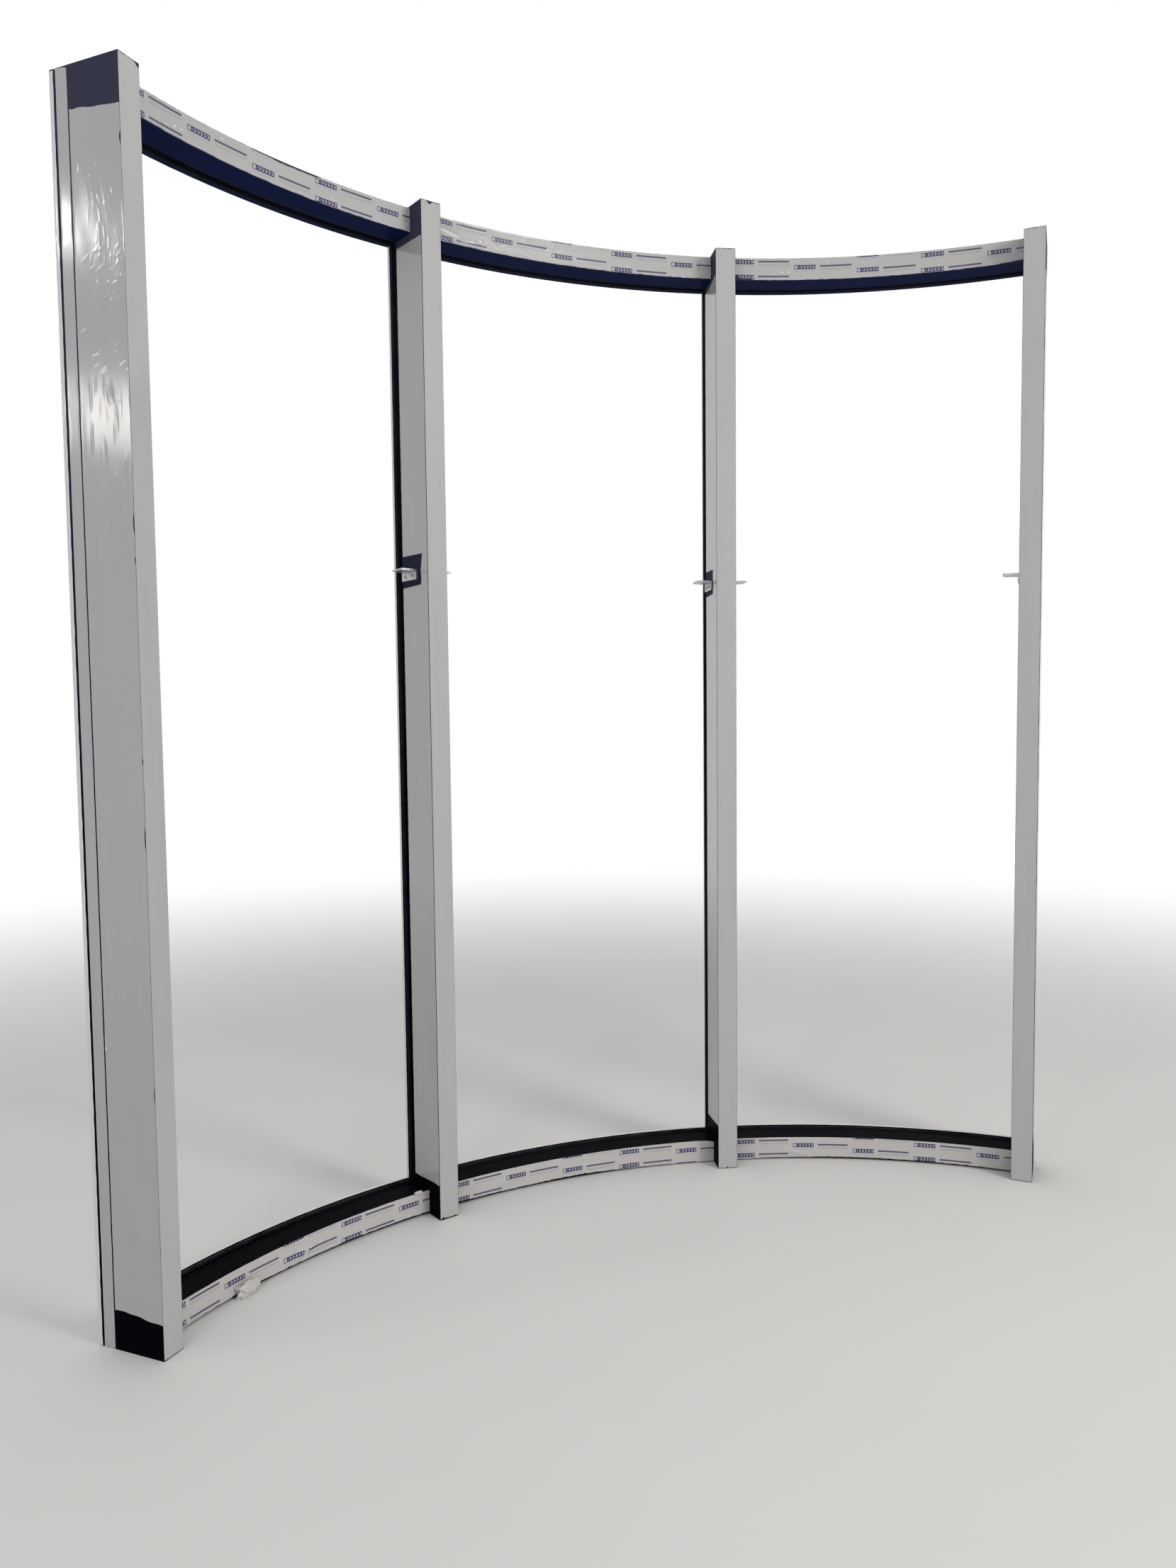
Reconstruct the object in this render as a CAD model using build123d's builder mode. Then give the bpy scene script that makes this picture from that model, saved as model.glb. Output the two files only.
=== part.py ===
from build123d import *
import os
from math import cos, radians, sin

# Driving dimensions of the whole frame, in millimetres and degrees
FRAME_HEIGHT = 2800.0
FRONT_RADIUS = 1715.0
JAMB_ANGLE = 44.9
MULLION_ANGLE = 15.2

# Posts: a hollow box on the room side and a cap on the weather side
POST_WIDTH = 60.0
POST_BOX_DEPTH = 141.0
POST_WEB_DEPTH = 60.0
BOX_WALL = 3.0
BOX_CORNER = 0.8

# Rails: the same build as the posts, turned on its side and bent to the arc
RAIL_SETBACK = 60.0
RAIL_HEIGHT = 65.0
RAIL_END_INSET = 5.0
RAIL_CAP_INSET = 3.0
BEAD_WALL = 6.0
BEAD_GROOVE_WIDTH = 3.0
BEAD_GROOVE_DEPTH = 2.0
BEAD_GROOVE_PITCH = 7.0
BEAD_GROOVE_MARGIN = 3.5

# Glazing pocket between box and cap
INNER_SEAL_DEPTH = 5.0
GLASS_THICKNESS = 28.0
OUTER_SEAL_DEPTH = 5.0
SEAL_WIDTH = 8.0
SEAL_INSET = 3.0
NOSE_WIDTH = 14.0
NOSE_DEPTH = 8.0
NOSE_SLOT_WIDTH = 6.0
CLOSER_WALL = 3.0
CLOSER_DEPTH = 33.0
CLOSER_TONGUE = 1.5

# Cap on the weather side
CAP_DEPTH = 12.0
CAP_WALL = 2.0

# Angle cleats that wait for a transom
CLEAT_TOP = 1828.0
CLEAT_SETBACK = 4.0
CLEAT_LENGTH = 80.0
CLEAT_REACH = 48.0
CLEAT_TIP_LENGTH = 55.0
CLEAT_LEG_HEIGHT = 28.0
CLEAT_THICKNESS = 5.0

# Depths that follow, measured outwards from the posts' room-side faces
SEAL_BACK = POST_BOX_DEPTH + INNER_SEAL_DEPTH
CAP_FRONT = SEAL_BACK + GLASS_THICKNESS + OUTER_SEAL_DEPTH
FRAME_DEPTH = CAP_FRONT + CAP_DEPTH
BREAK_DEPTH = CAP_FRONT - POST_BOX_DEPTH - NOSE_DEPTH
RAIL_BOX_DEPTH = POST_BOX_DEPTH - RAIL_SETBACK
RAIL_CAP_HEIGHT = RAIL_HEIGHT - 2 * RAIL_CAP_INSET
CLEAT_REAR = POST_BOX_DEPTH - CLEAT_SETBACK
CLEAT_FRONT = CLEAT_REAR - CLEAT_LENGTH

# Plan of the arc: its centre lies so that the origin is under the middle of the frame's box
POST_ANGLES = [-JAMB_ANGLE, -MULLION_ANGLE, MULLION_ANGLE, JAMB_ANGLE]
NEAREST_Y = FRONT_RADIUS * cos(radians(JAMB_ANGLE)) - POST_WIDTH / 2 * sin(radians(JAMB_ANGLE))
CENTRE_Y = -(NEAREST_Y + FRONT_RADIUS + FRAME_DEPTH) / 2
ARC_AXIS = Axis((0, CENTRE_Y, 0), (0, 0, 1))


def post_plane(angle):
    """Plane of a post on the floor: x across its face, y outwards, origin on the face's centre line."""
    turn = radians(angle)
    foot = (FRONT_RADIUS * sin(turn), CENTRE_Y + FRONT_RADIUS * cos(turn), 0)
    return Plane(origin=foot, x_dir=(cos(turn), -sin(turn), 0), z_dir=(0, 0, 1))


def rail_plane(angle, at_head):
    """Upright plane through the arc's centre: x along the radius, y from the rail's outer edge inwards."""
    turn = radians(angle)
    side = -1 if at_head else 1
    edge = FRAME_HEIGHT - RAIL_END_INSET if at_head else RAIL_END_INSET
    normal = (side * cos(turn), -side * sin(turn), 0)
    return Plane(origin=(0, CENTRE_Y, edge), x_dir=(sin(turn), cos(turn), 0), z_dir=normal)


def block(low_x, low_y, wide, deep, mode=Mode.ADD):
    """Rectangle from its lower left corner."""
    with Locations((low_x + wide / 2, low_y + deep / 2)):
        Rectangle(wide, deep, mode=mode)


def save(piece, name):
    """Label a finished piece and write it."""
    piece.part.label = name
    export_step(piece.part, f"parts/{name}.step")


def post_box_section(closed_side):
    """Two-chamber box with a slotted nose; closed_side is the side (-1, 1) that shuts the pocket, or 0."""
    inner_width = POST_WIDTH - 2 * BOX_WALL
    with Locations((0, POST_BOX_DEPTH / 2)):
        RectangleRounded(POST_WIDTH, POST_BOX_DEPTH, BOX_CORNER)
    block(-inner_width / 2, BOX_WALL, inner_width, POST_WEB_DEPTH - BOX_WALL, Mode.SUBTRACT)
    rear_start = POST_WEB_DEPTH + BOX_WALL
    block(-inner_width / 2, rear_start, inner_width, POST_BOX_DEPTH - BOX_WALL - rear_start, Mode.SUBTRACT)
    block(-NOSE_WIDTH / 2, POST_BOX_DEPTH - BOX_WALL, NOSE_WIDTH, NOSE_DEPTH + BOX_WALL)
    block(-NOSE_SLOT_WIDTH / 2, POST_BOX_DEPTH, NOSE_SLOT_WIDTH, NOSE_DEPTH, Mode.SUBTRACT)
    if closed_side:
        inner_face = POST_WIDTH / 2 - CLOSER_WALL
        start = inner_face if closed_side > 0 else -POST_WIDTH / 2
        block(start, POST_BOX_DEPTH - BOX_WALL, CLOSER_WALL, CLOSER_DEPTH + BOX_WALL)
        tongue = inner_face if closed_side > 0 else -inner_face - CLOSER_TONGUE
        block(tongue, POST_BOX_DEPTH, CLOSER_TONGUE, CAP_FRONT - POST_BOX_DEPTH)


def rail_box_section():
    """Box of a rail with two bead grooves, a plain nose and a leg that shuts the pocket's outer side."""
    front = FRONT_RADIUS + RAIL_SETBACK
    rear = front + RAIL_BOX_DEPTH
    block(front, 0, RAIL_BOX_DEPTH, RAIL_HEIGHT)
    chamber_depth = RAIL_BOX_DEPTH - 2 * BOX_WALL
    block(front + BOX_WALL, BOX_WALL, chamber_depth, RAIL_HEIGHT - BOX_WALL - BEAD_WALL, Mode.SUBTRACT)
    for groove in range(2):
        low_x = rear - BEAD_GROOVE_MARGIN - BEAD_GROOVE_WIDTH - groove * BEAD_GROOVE_PITCH
        block(low_x, RAIL_HEIGHT - BEAD_GROOVE_DEPTH, BEAD_GROOVE_WIDTH, BEAD_GROOVE_DEPTH, Mode.SUBTRACT)
    block(rear - BOX_WALL, (RAIL_HEIGHT - NOSE_WIDTH) / 2, NOSE_DEPTH + BOX_WALL, NOSE_WIDTH)
    block(rear - BOX_WALL, 0, CLOSER_DEPTH + BOX_WALL, CLOSER_WALL)
    block(rear, CLOSER_WALL, CAP_FRONT - POST_BOX_DEPTH, CLOSER_TONGUE)


def post_break_section():
    """Insulating strip between a post's nose and its cap."""
    block(-NOSE_WIDTH / 2, CAP_FRONT - BREAK_DEPTH, NOSE_WIDTH, BREAK_DEPTH)


def post_cap_section():
    """Hollow cap of a post, as wide as the post's box."""
    with Locations((0, CAP_FRONT + CAP_DEPTH / 2)):
        RectangleRounded(POST_WIDTH, CAP_DEPTH, BOX_CORNER)
        Rectangle(POST_WIDTH - 2 * CAP_WALL, CAP_DEPTH - 2 * CAP_WALL, mode=Mode.SUBTRACT)


def rail_break_section():
    """Insulating strip between a rail's nose and its cap."""
    low = (RAIL_HEIGHT - NOSE_WIDTH) / 2
    block(FRONT_RADIUS + CAP_FRONT - BREAK_DEPTH, low, BREAK_DEPTH, NOSE_WIDTH)


def rail_cap_section():
    """Hollow cap of a rail, a little lower than the rail's box."""
    with Locations((FRONT_RADIUS + CAP_FRONT + CAP_DEPTH / 2, RAIL_HEIGHT / 2)):
        Rectangle(CAP_DEPTH, RAIL_CAP_HEIGHT)
        Rectangle(CAP_DEPTH - 2 * CAP_WALL, RAIL_CAP_HEIGHT - 2 * CAP_WALL, mode=Mode.SUBTRACT)


def make_post_piece(name, angle, section):
    """One piece of a post: its section carried over the frame's full height."""
    with BuildPart() as piece:
        with BuildSketch(post_plane(angle)):
            section()
        extrude(amount=FRAME_HEIGHT)
    save(piece, name)


def make_rail_piece(name, left, right, at_head, section):
    """One piece of a rail: its section turned about the arc's centre and cut flush at both posts."""
    with BuildPart() as piece:
        with BuildSketch(rail_plane(right, at_head)):
            section()
        revolve(axis=ARC_AXIS, revolution_arc=right - left)
        for angle in (left, right):
            with BuildSketch(post_plane(angle)):
                block(-POST_WIDTH / 2, 0, POST_WIDTH, 2 * FRAME_DEPTH)
            extrude(amount=FRAME_HEIGHT, mode=Mode.SUBTRACT)
    save(piece, name)


def make_seal_ring(name, left, right, depth, thickness, edge_height):
    """Rubber ring round one bay: two upright strips on the posts and two bent strips on the rails."""
    strip_start = POST_WIDTH / 2 - SEAL_INSET - SEAL_WIDTH
    low = edge_height - SEAL_INSET - SEAL_WIDTH
    upright_start = RAIL_END_INSET + low
    with BuildPart() as ring:
        for at_head in (False, True):
            with BuildSketch(rail_plane(right, at_head)):
                block(FRONT_RADIUS + depth, low, thickness, SEAL_WIDTH)
            revolve(axis=ARC_AXIS, revolution_arc=right - left)
        for angle in (left, right):
            with BuildSketch(post_plane(angle)):
                block(-strip_start, 0, 2 * strip_start, 2 * FRAME_DEPTH)
                block(-POST_WIDTH / 2, 0, POST_WIDTH, POST_BOX_DEPTH)
            extrude(amount=FRAME_HEIGHT, mode=Mode.SUBTRACT)
        for angle, side in ((left, 1), (right, -1)):
            with BuildSketch(post_plane(angle).offset(upright_start)):
                with Locations((side * (strip_start + SEAL_WIDTH / 2), depth + thickness / 2)):
                    Rectangle(SEAL_WIDTH, thickness)
            extrude(amount=FRAME_HEIGHT - 2 * upright_start)
    save(ring, name)


def make_cleat(name, angle, side):
    """Angle cleat on the side (-1, 1) of a post: a leg on the post and a tapered shelf into the bay."""
    root = side * POST_WIDTH / 2
    tip = side * (POST_WIDTH / 2 + CLEAT_REACH)
    tip_rear = CLEAT_FRONT + CLEAT_TIP_LENGTH
    with BuildPart() as cleat:
        with BuildSketch(post_plane(angle).offset(CLEAT_TOP - CLEAT_THICKNESS)):
            with BuildLine():
                Polyline((root, CLEAT_FRONT), (tip, CLEAT_FRONT), (tip, tip_rear), (root, CLEAT_REAR), close=True)
            make_face()
        extrude(amount=CLEAT_THICKNESS)
        with BuildSketch(post_plane(angle).offset(CLEAT_TOP - CLEAT_LEG_HEIGHT)):
            with Locations((root + side * CLEAT_THICKNESS / 2, CLEAT_FRONT + CLEAT_LENGTH / 2)):
                Rectangle(CLEAT_THICKNESS, CLEAT_LENGTH)
        extrude(amount=CLEAT_LEG_HEIGHT)
    save(cleat, name)


os.makedirs("parts", exist_ok=True)

CLOSED_SIDES = [-1, 0, 0, 1]
for number, (angle, closed_side) in enumerate(zip(POST_ANGLES, CLOSED_SIDES), start=1):
    make_post_piece(f"post_{number}_box", angle, lambda: post_box_section(closed_side))
    make_post_piece(f"post_{number}_break", angle, post_break_section)
    make_post_piece(f"post_{number}_cap", angle, post_cap_section)

BAYS = list(zip(POST_ANGLES, POST_ANGLES[1:]))
for bay, (left, right) in enumerate(BAYS, start=1):
    for at_head, rail in ((False, "sill"), (True, "head")):
        make_rail_piece(f"{rail}_{bay}_box", left, right, at_head, rail_box_section)
        make_rail_piece(f"{rail}_{bay}_break", left, right, at_head, rail_break_section)
        make_rail_piece(f"{rail}_{bay}_cap", left, right, at_head, rail_cap_section)
    make_seal_ring(f"bay_{bay}_inner_seal", left, right, POST_BOX_DEPTH, INNER_SEAL_DEPTH, RAIL_HEIGHT)
    cap_edge = RAIL_HEIGHT - RAIL_CAP_INSET
    make_seal_ring(f"bay_{bay}_outer_seal", left, right, CAP_FRONT - OUTER_SEAL_DEPTH, OUTER_SEAL_DEPTH, cap_edge)
    make_cleat(f"cleat_{bay}_left", left, 1)
    make_cleat(f"cleat_{bay}_right", right, -1)
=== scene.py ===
"""Curved fixed window frame: finishes, protective film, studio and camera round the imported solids.

The frame stands on its arc with the hollow side towards the camera. Posts are counted from the left, bays and
rails as well. Lengths are metres unless a name or docstring says millimetres.
"""

import logging
import math
from abc import ABC, abstractmethod
from dataclasses import dataclass
from enum import Enum
from typing import Any, Optional, Sequence, Union

import bpy
import numpy as np
from mathutils import Matrix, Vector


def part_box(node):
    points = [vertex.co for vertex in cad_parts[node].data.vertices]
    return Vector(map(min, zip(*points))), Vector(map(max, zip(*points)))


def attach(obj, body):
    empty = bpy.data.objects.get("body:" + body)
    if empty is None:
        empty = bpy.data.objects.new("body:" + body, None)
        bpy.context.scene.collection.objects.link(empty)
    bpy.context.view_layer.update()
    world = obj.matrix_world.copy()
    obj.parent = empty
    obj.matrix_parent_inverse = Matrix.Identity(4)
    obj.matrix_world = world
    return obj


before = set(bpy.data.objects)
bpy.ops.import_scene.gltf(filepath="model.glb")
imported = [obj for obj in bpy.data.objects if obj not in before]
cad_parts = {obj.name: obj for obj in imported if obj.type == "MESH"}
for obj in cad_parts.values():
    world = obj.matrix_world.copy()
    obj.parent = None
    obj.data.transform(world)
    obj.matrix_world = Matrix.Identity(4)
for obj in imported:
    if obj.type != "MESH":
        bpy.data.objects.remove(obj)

LOG = logging.getLogger("curved_window")
MM = 0.001

Pair = tuple[float, float]
Triple = tuple[float, float, float]
Sides = tuple[float, float, float, float]
Outline = tuple[Pair, ...]
Colour = Triple


# Plan of the arc


@dataclass(frozen=True)
class ArcPlan:
    """Driving sizes of the frame and the two ways to place a point on it.

    Depth is measured outwards from the posts' room-side faces, lateral across a post, angles from the middle
    of the arc towards the right.
    """

    height: float
    centre_y: float
    front_radius: float = 1.715
    jamb_angle: float = math.radians(44.9)
    mullion_angle: float = math.radians(15.2)
    post_width: float = 0.060
    box_depth: float = 0.141
    closer_depth: float = 0.174
    cap_front: float = 0.179
    frame_depth: float = 0.191
    rail_setback: float = 0.060
    rail_height: float = 0.065
    rail_end_inset: float = 0.005
    rail_cap_inset: float = 0.003
    cleat_top: float = 1.828
    cleat_front: float = 0.057
    cleat_thickness: float = 0.005

    @classmethod
    def from_nodes(cls, post: str, middle_cap: str) -> "ArcPlan":
        """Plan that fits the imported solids.

        Args:
            post: Name of a post's box, which is as high as the frame.
            middle_cap: Name of the cap in the middle of the arc, whose rear is the outermost point.

        Returns:
            The plan, its arc centred so that this cap ends on the outer radius.
        """
        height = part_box(post)[1].z
        return cls(height=height, centre_y=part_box(middle_cap)[1].y - cls.front_radius - cls.frame_depth)

    @property
    def post_angles(self) -> tuple[float, ...]:
        """Angles of the four posts from left to right."""
        return (-self.jamb_angle, -self.mullion_angle, self.mullion_angle, self.jamb_angle)

    def on_post(self, angle: float, lateral: np.ndarray, depth: np.ndarray, height: np.ndarray) -> np.ndarray:
        """Points beside a post's centre plane.

        x = (R + depth) sin a + lateral cos a and y = centre + (R + depth) cos a - lateral sin a.

        Args:
            angle: The post's angle a.
            lateral: Distance to the right of the centre plane.
            depth: Distance outwards from the room-side face.
            height: Height over the floor.

        Returns:
            Array with x, y and z in its last axis.
        """
        radius = self.front_radius + depth
        x = radius * math.sin(angle) + lateral * math.cos(angle)
        y = self.centre_y + radius * math.cos(angle) - lateral * math.sin(angle)
        return np.stack(np.broadcast_arrays(x, y, height), axis=-1)

    def on_arc(self, angle: np.ndarray, depth: np.ndarray, height: np.ndarray) -> np.ndarray:
        """Points at an angle round the arc: x = (R + depth) sin a, y = centre + (R + depth) cos a.

        Args:
            angle: Angles from the middle of the arc.
            depth: Distance outwards from the posts' room-side faces.
            height: Height over the floor.

        Returns:
            Array with x, y and z in its last axis.
        """
        radius = self.front_radius + depth
        x = radius * np.sin(angle)
        y = self.centre_y + radius * np.cos(angle)
        return np.stack(np.broadcast_arrays(x, y, height), axis=-1)

    def post_edge_angle(self, depth: float) -> float:
        """Angle between a post's centre plane and its side face at a depth."""
        return math.asin(self.post_width / 2 / (self.front_radius + depth))


class Run(ABC):
    """Path along which a section is carried."""

    @abstractmethod
    def carry(self, section: np.ndarray, length: np.ndarray) -> np.ndarray:
        """Points of the section at each length along the run."""


@dataclass(frozen=True)
class PostRun(Run):
    """Upright run: the section's x is lateral, its y is depth, and length is height over the floor."""

    plan: ArcPlan
    angle: float

    def carry(self, section: np.ndarray, length: np.ndarray) -> np.ndarray:
        """Section points on the post's plan, lifted to each height."""
        return self.plan.on_post(self.angle, section[..., 0], section[..., 1], length)


@dataclass(frozen=True)
class RailRun(Run):
    """Bent run: the section's x is depth, its y height, and length goes round the arc at the rail's face."""

    plan: ArcPlan
    start_angle: float

    @property
    def radius(self) -> float:
        """Radius at which length is measured."""
        return self.plan.front_radius + self.plan.rail_setback

    def carry(self, section: np.ndarray, length: np.ndarray) -> np.ndarray:
        """Section points turned about the arc's centre by length over radius."""
        return self.plan.on_arc(self.start_angle + length / self.radius, section[..., 0], section[..., 1])


# Meshes

SHARP_ANGLE = math.radians(38)
BORDER = 0.4 * MM
NEAR_DOUBLE = 0.02 * MM


def add_mesh(name: str, points: np.ndarray, faces: list, uv: Optional[np.ndarray] = None) -> bpy.types.Object:
    """Smooth mesh object at the origin, with sharp edges kept where faces turn.

    Args:
        name: Name of the piece.
        points: Vertices, one row each.
        faces: Arrays of faces, each with one row of vertex numbers per face.
        uv: Surface coordinates in metres, one row per vertex.

    Returns:
        The new object.
    """
    mesh = bpy.data.meshes.new(name)
    mesh.from_pydata(points.tolist(), [], [row for block in faces for row in block.tolist()])
    if uv is not None:
        corner_vertex = np.empty(len(mesh.loops), dtype=np.int32)
        mesh.loops.foreach_get("vertex_index", corner_vertex)
        layer = mesh.uv_layers.new(name="surface")
        layer.uv.foreach_set("vector", uv[corner_vertex].astype(np.float32).ravel())
    mesh.shade_smooth()
    mesh.set_sharp_from_angle(angle=SHARP_ANGLE)
    piece = bpy.data.objects.new(name, mesh)
    bpy.context.scene.collection.objects.link(piece)
    return piece


def grid_border(grid: np.ndarray) -> np.ndarray:
    """Entries round the border of a grid, each once."""
    return np.concatenate([grid[:-1, 0], grid[-1, :-1], grid[:0:-1, -1], grid[0, :0:-1]])


def closed_sheet(name: str, front: np.ndarray, back: np.ndarray, uv: np.ndarray) -> bpy.types.Object:
    """Thin closed shell between two grids: both grids as quads, and a rim that joins their borders.

    Args:
        name: Name of the piece.
        front: Outer grid, rows by columns by three.
        back: Inner grid of the same size.
        uv: Surface coordinates of the grid points.

    Returns:
        The new object, its faces turned outwards.
    """
    rows, columns = front.shape[:2]
    outer = np.arange(rows * columns).reshape(rows, columns)
    inner = outer + rows * columns
    across = front[1, 0] - front[0, 0]
    along = front[0, 1] - front[0, 0]
    if np.dot(np.cross(across, along), front[0, 0] - back[0, 0]) < 0:
        outer, inner = inner, outer
    front_quads = np.stack([outer[:-1, :-1], outer[1:, :-1], outer[1:, 1:], outer[:-1, 1:]], -1)
    back_quads = np.stack([inner[:-1, :-1], inner[:-1, 1:], inner[1:, 1:], inner[1:, :-1]], -1)
    rim_outer, rim_inner = grid_border(outer), grid_border(inner)
    rim = np.stack([rim_outer, rim_inner, np.roll(rim_inner, -1), np.roll(rim_outer, -1)], -1)
    points = np.concatenate([front.reshape(-1, 3), back.reshape(-1, 3)])
    both_uv = np.concatenate([uv.reshape(-1, 2)] * 2)
    faces = [front_quads.reshape(-1, 4), back_quads.reshape(-1, 4), rim]
    return add_mesh(name, points, faces, both_uv)


def closed_turn(rings: np.ndarray, poles: np.ndarray) -> tuple[np.ndarray, list]:
    """Closed surface through rings of points: quads between neighbours and a fan round each of the two poles.

    The sign of the volume, a sixth of the sum of a . (b x c) over all triangles, says whether the faces look
    outwards.

    Args:
        rings: Points, rings by turns by three.
        poles: The first and the last pole.

    Returns:
        Points, and arrays of faces that look outwards.
    """
    count, turns = rings.shape[:2]
    index = np.arange(count * turns).reshape(count, turns)
    after = np.roll(index, -1, axis=1)
    first, last = count * turns, count * turns + 1
    quads = np.stack([index[:-1], index[1:], after[1:], after[:-1]], -1).reshape(-1, 4)
    fans = np.concatenate(
        [
            np.stack([np.full(turns, first), index[0], after[0]], -1),
            np.stack([np.full(turns, last), after[-1], index[-1]], -1),
        ]
    )
    points = np.concatenate([rings.reshape(-1, 3), poles])
    triangles = points[np.concatenate([quads[:, [0, 1, 2]], quads[:, [0, 2, 3]], fans])]
    volume = np.einsum("ij,ij->i", triangles[:, 0], np.cross(triangles[:, 1], triangles[:, 2])).sum()
    faces = [quads, fans]
    return points, faces if volume > 0 else [block[:, ::-1] for block in faces]


def grid_lines(extent: float, pitch: float, extra: np.ndarray) -> np.ndarray:
    """Places of grid lines: even steps of at most one pitch, extra places and a narrow border at both ends.

    Args:
        extent: Last place; the first is 0.
        pitch: Widest step.
        extra: Further places, such as the corners of a cut.

    Returns:
        Sorted places without near doubles.
    """
    even = np.linspace(0.0, extent, max(2, math.ceil(extent / pitch) + 1))
    wanted = np.concatenate([even, extra, [BORDER, extent - BORDER]])
    wanted = np.unique(np.clip(wanted, 0.0, extent))
    keep = np.concatenate([[True], np.diff(wanted) > NEAR_DOUBLE])
    return wanted[keep]


# Film on the profiles

FOLD_BLEND = 1.0 * MM
END_ROWS = np.array([4.0, 8.0, 14.0, 22.0]) * MM
END_ZONE = 30.0 * MM
END_ZONE_CUTS = 3.0
LIP_SLOW_WAVE = 0.043
LIP_SLOW_STEP = 0.01
LIP_QUICK_WAVE = 0.0171
LIP_QUICK_PHASE = 1.3


@dataclass(frozen=True)
class Section:
    """Open outline of the faces that a film covers, in metres, walked with the outward side on the right."""

    corners: Outline

    @property
    def stretches(self) -> np.ndarray:
        """Lengths of the straight stretches."""
        return np.linalg.norm(np.diff(np.array(self.corners), axis=0), axis=1)

    @property
    def width(self) -> float:
        """Developed width of the film."""
        return float(self.stretches.sum())

    @property
    def folds(self) -> np.ndarray:
        """Developed widths at which the film folds round an edge."""
        return np.cumsum(self.stretches)[:-1]

    def sample(self, width: np.ndarray) -> tuple[np.ndarray, np.ndarray]:
        """Points and outward normals at developed widths.

        A point is found by straight interpolation between corners. Its normal is the stretch's direction
        turned a quarter to the right, and near a fold it turns evenly to the next one.

        Args:
            width: Developed widths.

        Returns:
            Points and unit normals, with x and y in the last axis.
        """
        corners = np.array(self.corners)
        reached = np.concatenate([[0.0], np.cumsum(self.stretches)])
        point = np.stack([np.interp(width, reached, corners[:, axis]) for axis in (0, 1)], axis=-1)
        heading = np.diff(corners, axis=0) / self.stretches[:, None]
        outward = np.stack([heading[:, 1], -heading[:, 0]], axis=-1)
        bends = [self.folds - FOLD_BLEND, self.folds + FOLD_BLEND]
        places = np.sort(np.concatenate([[0.0, self.width], *bends]))
        turns = np.repeat(outward, 2, axis=0)
        normal = np.stack([np.interp(width, places, turns[:, axis]) for axis in (0, 1)], axis=-1)
        return point, normal / np.linalg.norm(normal, axis=-1, keepdims=True)


@dataclass(frozen=True)
class Cut:
    """Cut or torn edge of a film.

    Lengths are millimetres. points are (place along the edge, distance that the film stays back), joined by
    straight lines. wobble is the height of a seeded unevenness, which is the mean of a few sine waves with
    lengths between a shortest and a longest one. jag is the depth of seeded teeth, and tooth their distance.
    """

    points: Outline = ((0.0, 0.4),)
    wobble: float = 0.12
    jag: float = 0.0
    tooth: float = 7.0
    seed: int = 1
    waves: int = 3
    wave_lengths: Pair = (9.0, 70.0)

    @classmethod
    def above(cls, level: float, outline: Outline, **unevenness: float) -> "Cut":
        """Cut along an outline of (place, height) points, for a film that would start at a level below it."""
        return cls(tuple(sorted((place, height - level) for place, height in outline)), **unevenness)

    @classmethod
    def below(cls, level: float, outline: Outline, **unevenness: float) -> "Cut":
        """Cut along an outline of (place, height) points, for a film that would end at a level above it."""
        return cls(tuple(sorted((place, level - height) for place, height in outline)), **unevenness)

    @property
    def places(self) -> np.ndarray:
        """Places of the points in metres."""
        return np.array([place for place, _ in self.points]) * MM

    @property
    def deepest(self) -> float:
        """Largest distance that the film stays back, in metres."""
        return max(back for _, back in self.points) * MM

    def back(self, place: np.ndarray) -> np.ndarray:
        """Distance that the film stays back at each place, in metres.

        Straight interpolation between the points, plus wobble x mean of sin(2 pi place / wavelength + phase),
        plus jag x straight interpolation between seeded heights a tooth apart.

        Args:
            place: Places along the edge, in metres.

        Returns:
            Distances, never under zero.
        """
        rng = np.random.default_rng(self.seed)
        wavelength = rng.uniform(*self.wave_lengths, self.waves) * MM
        phase = rng.uniform(0.0, 2 * math.pi, self.waves)
        waves = np.sin(2 * math.pi * place[..., None] / wavelength + phase).mean(axis=-1)
        knots = np.arange(-1.0, 1.02 * float(place.max()) / (self.tooth * MM) + 2.0) * self.tooth * MM
        teeth = np.interp(place, knots, rng.uniform(0.0, 1.0, len(knots)) ** 2)
        straight = np.interp(place, self.places, np.array([back for _, back in self.points]) * MM)
        return np.maximum(straight + self.wobble * MM * waves + self.jag * MM * teeth, 0.0)


@dataclass(frozen=True)
class Ripple:
    """Gentle unevenness of a film, in millimetres: rise x mean of seeded sines of length / a + width / b.

    a and b are the two scales times seeded shares between the lowest and the highest one.
    """

    rise: float = 0.10
    length_scale: float = 190.0
    width_scale: float = 42.0
    seed: int = 1
    waves: int = 6
    length_shares: Pair = (0.5, 2.2)
    width_shares: Pair = (0.6, 2.4)

    def height(self, length: np.ndarray, width: np.ndarray) -> np.ndarray:
        """Rise over the metal at each point, in metres.

        Args:
            length: Places along the run.
            width: Places across the film.

        Returns:
            Array of the same shape.
        """
        rng = np.random.default_rng(self.seed)
        along = 1.0 / (self.length_scale * MM * rng.uniform(*self.length_shares, self.waves))
        sense = rng.choice([-1.0, 1.0], self.waves)
        across = sense / (self.width_scale * MM * rng.uniform(*self.width_shares, self.waves))
        phase = rng.uniform(0.0, 2 * math.pi, self.waves)
        turns = length[..., None] * along + width[..., None] * across
        return self.rise * MM * (1.0 + np.sin(2 * math.pi * turns + phase).mean(axis=-1))


class Relief(ABC):
    """Shape that stands up from a film. Lengths count along the run, widths across the film."""

    @abstractmethod
    def height(self, length: np.ndarray, width: np.ndarray) -> np.ndarray:
        """Rise in metres at each point."""


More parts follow.
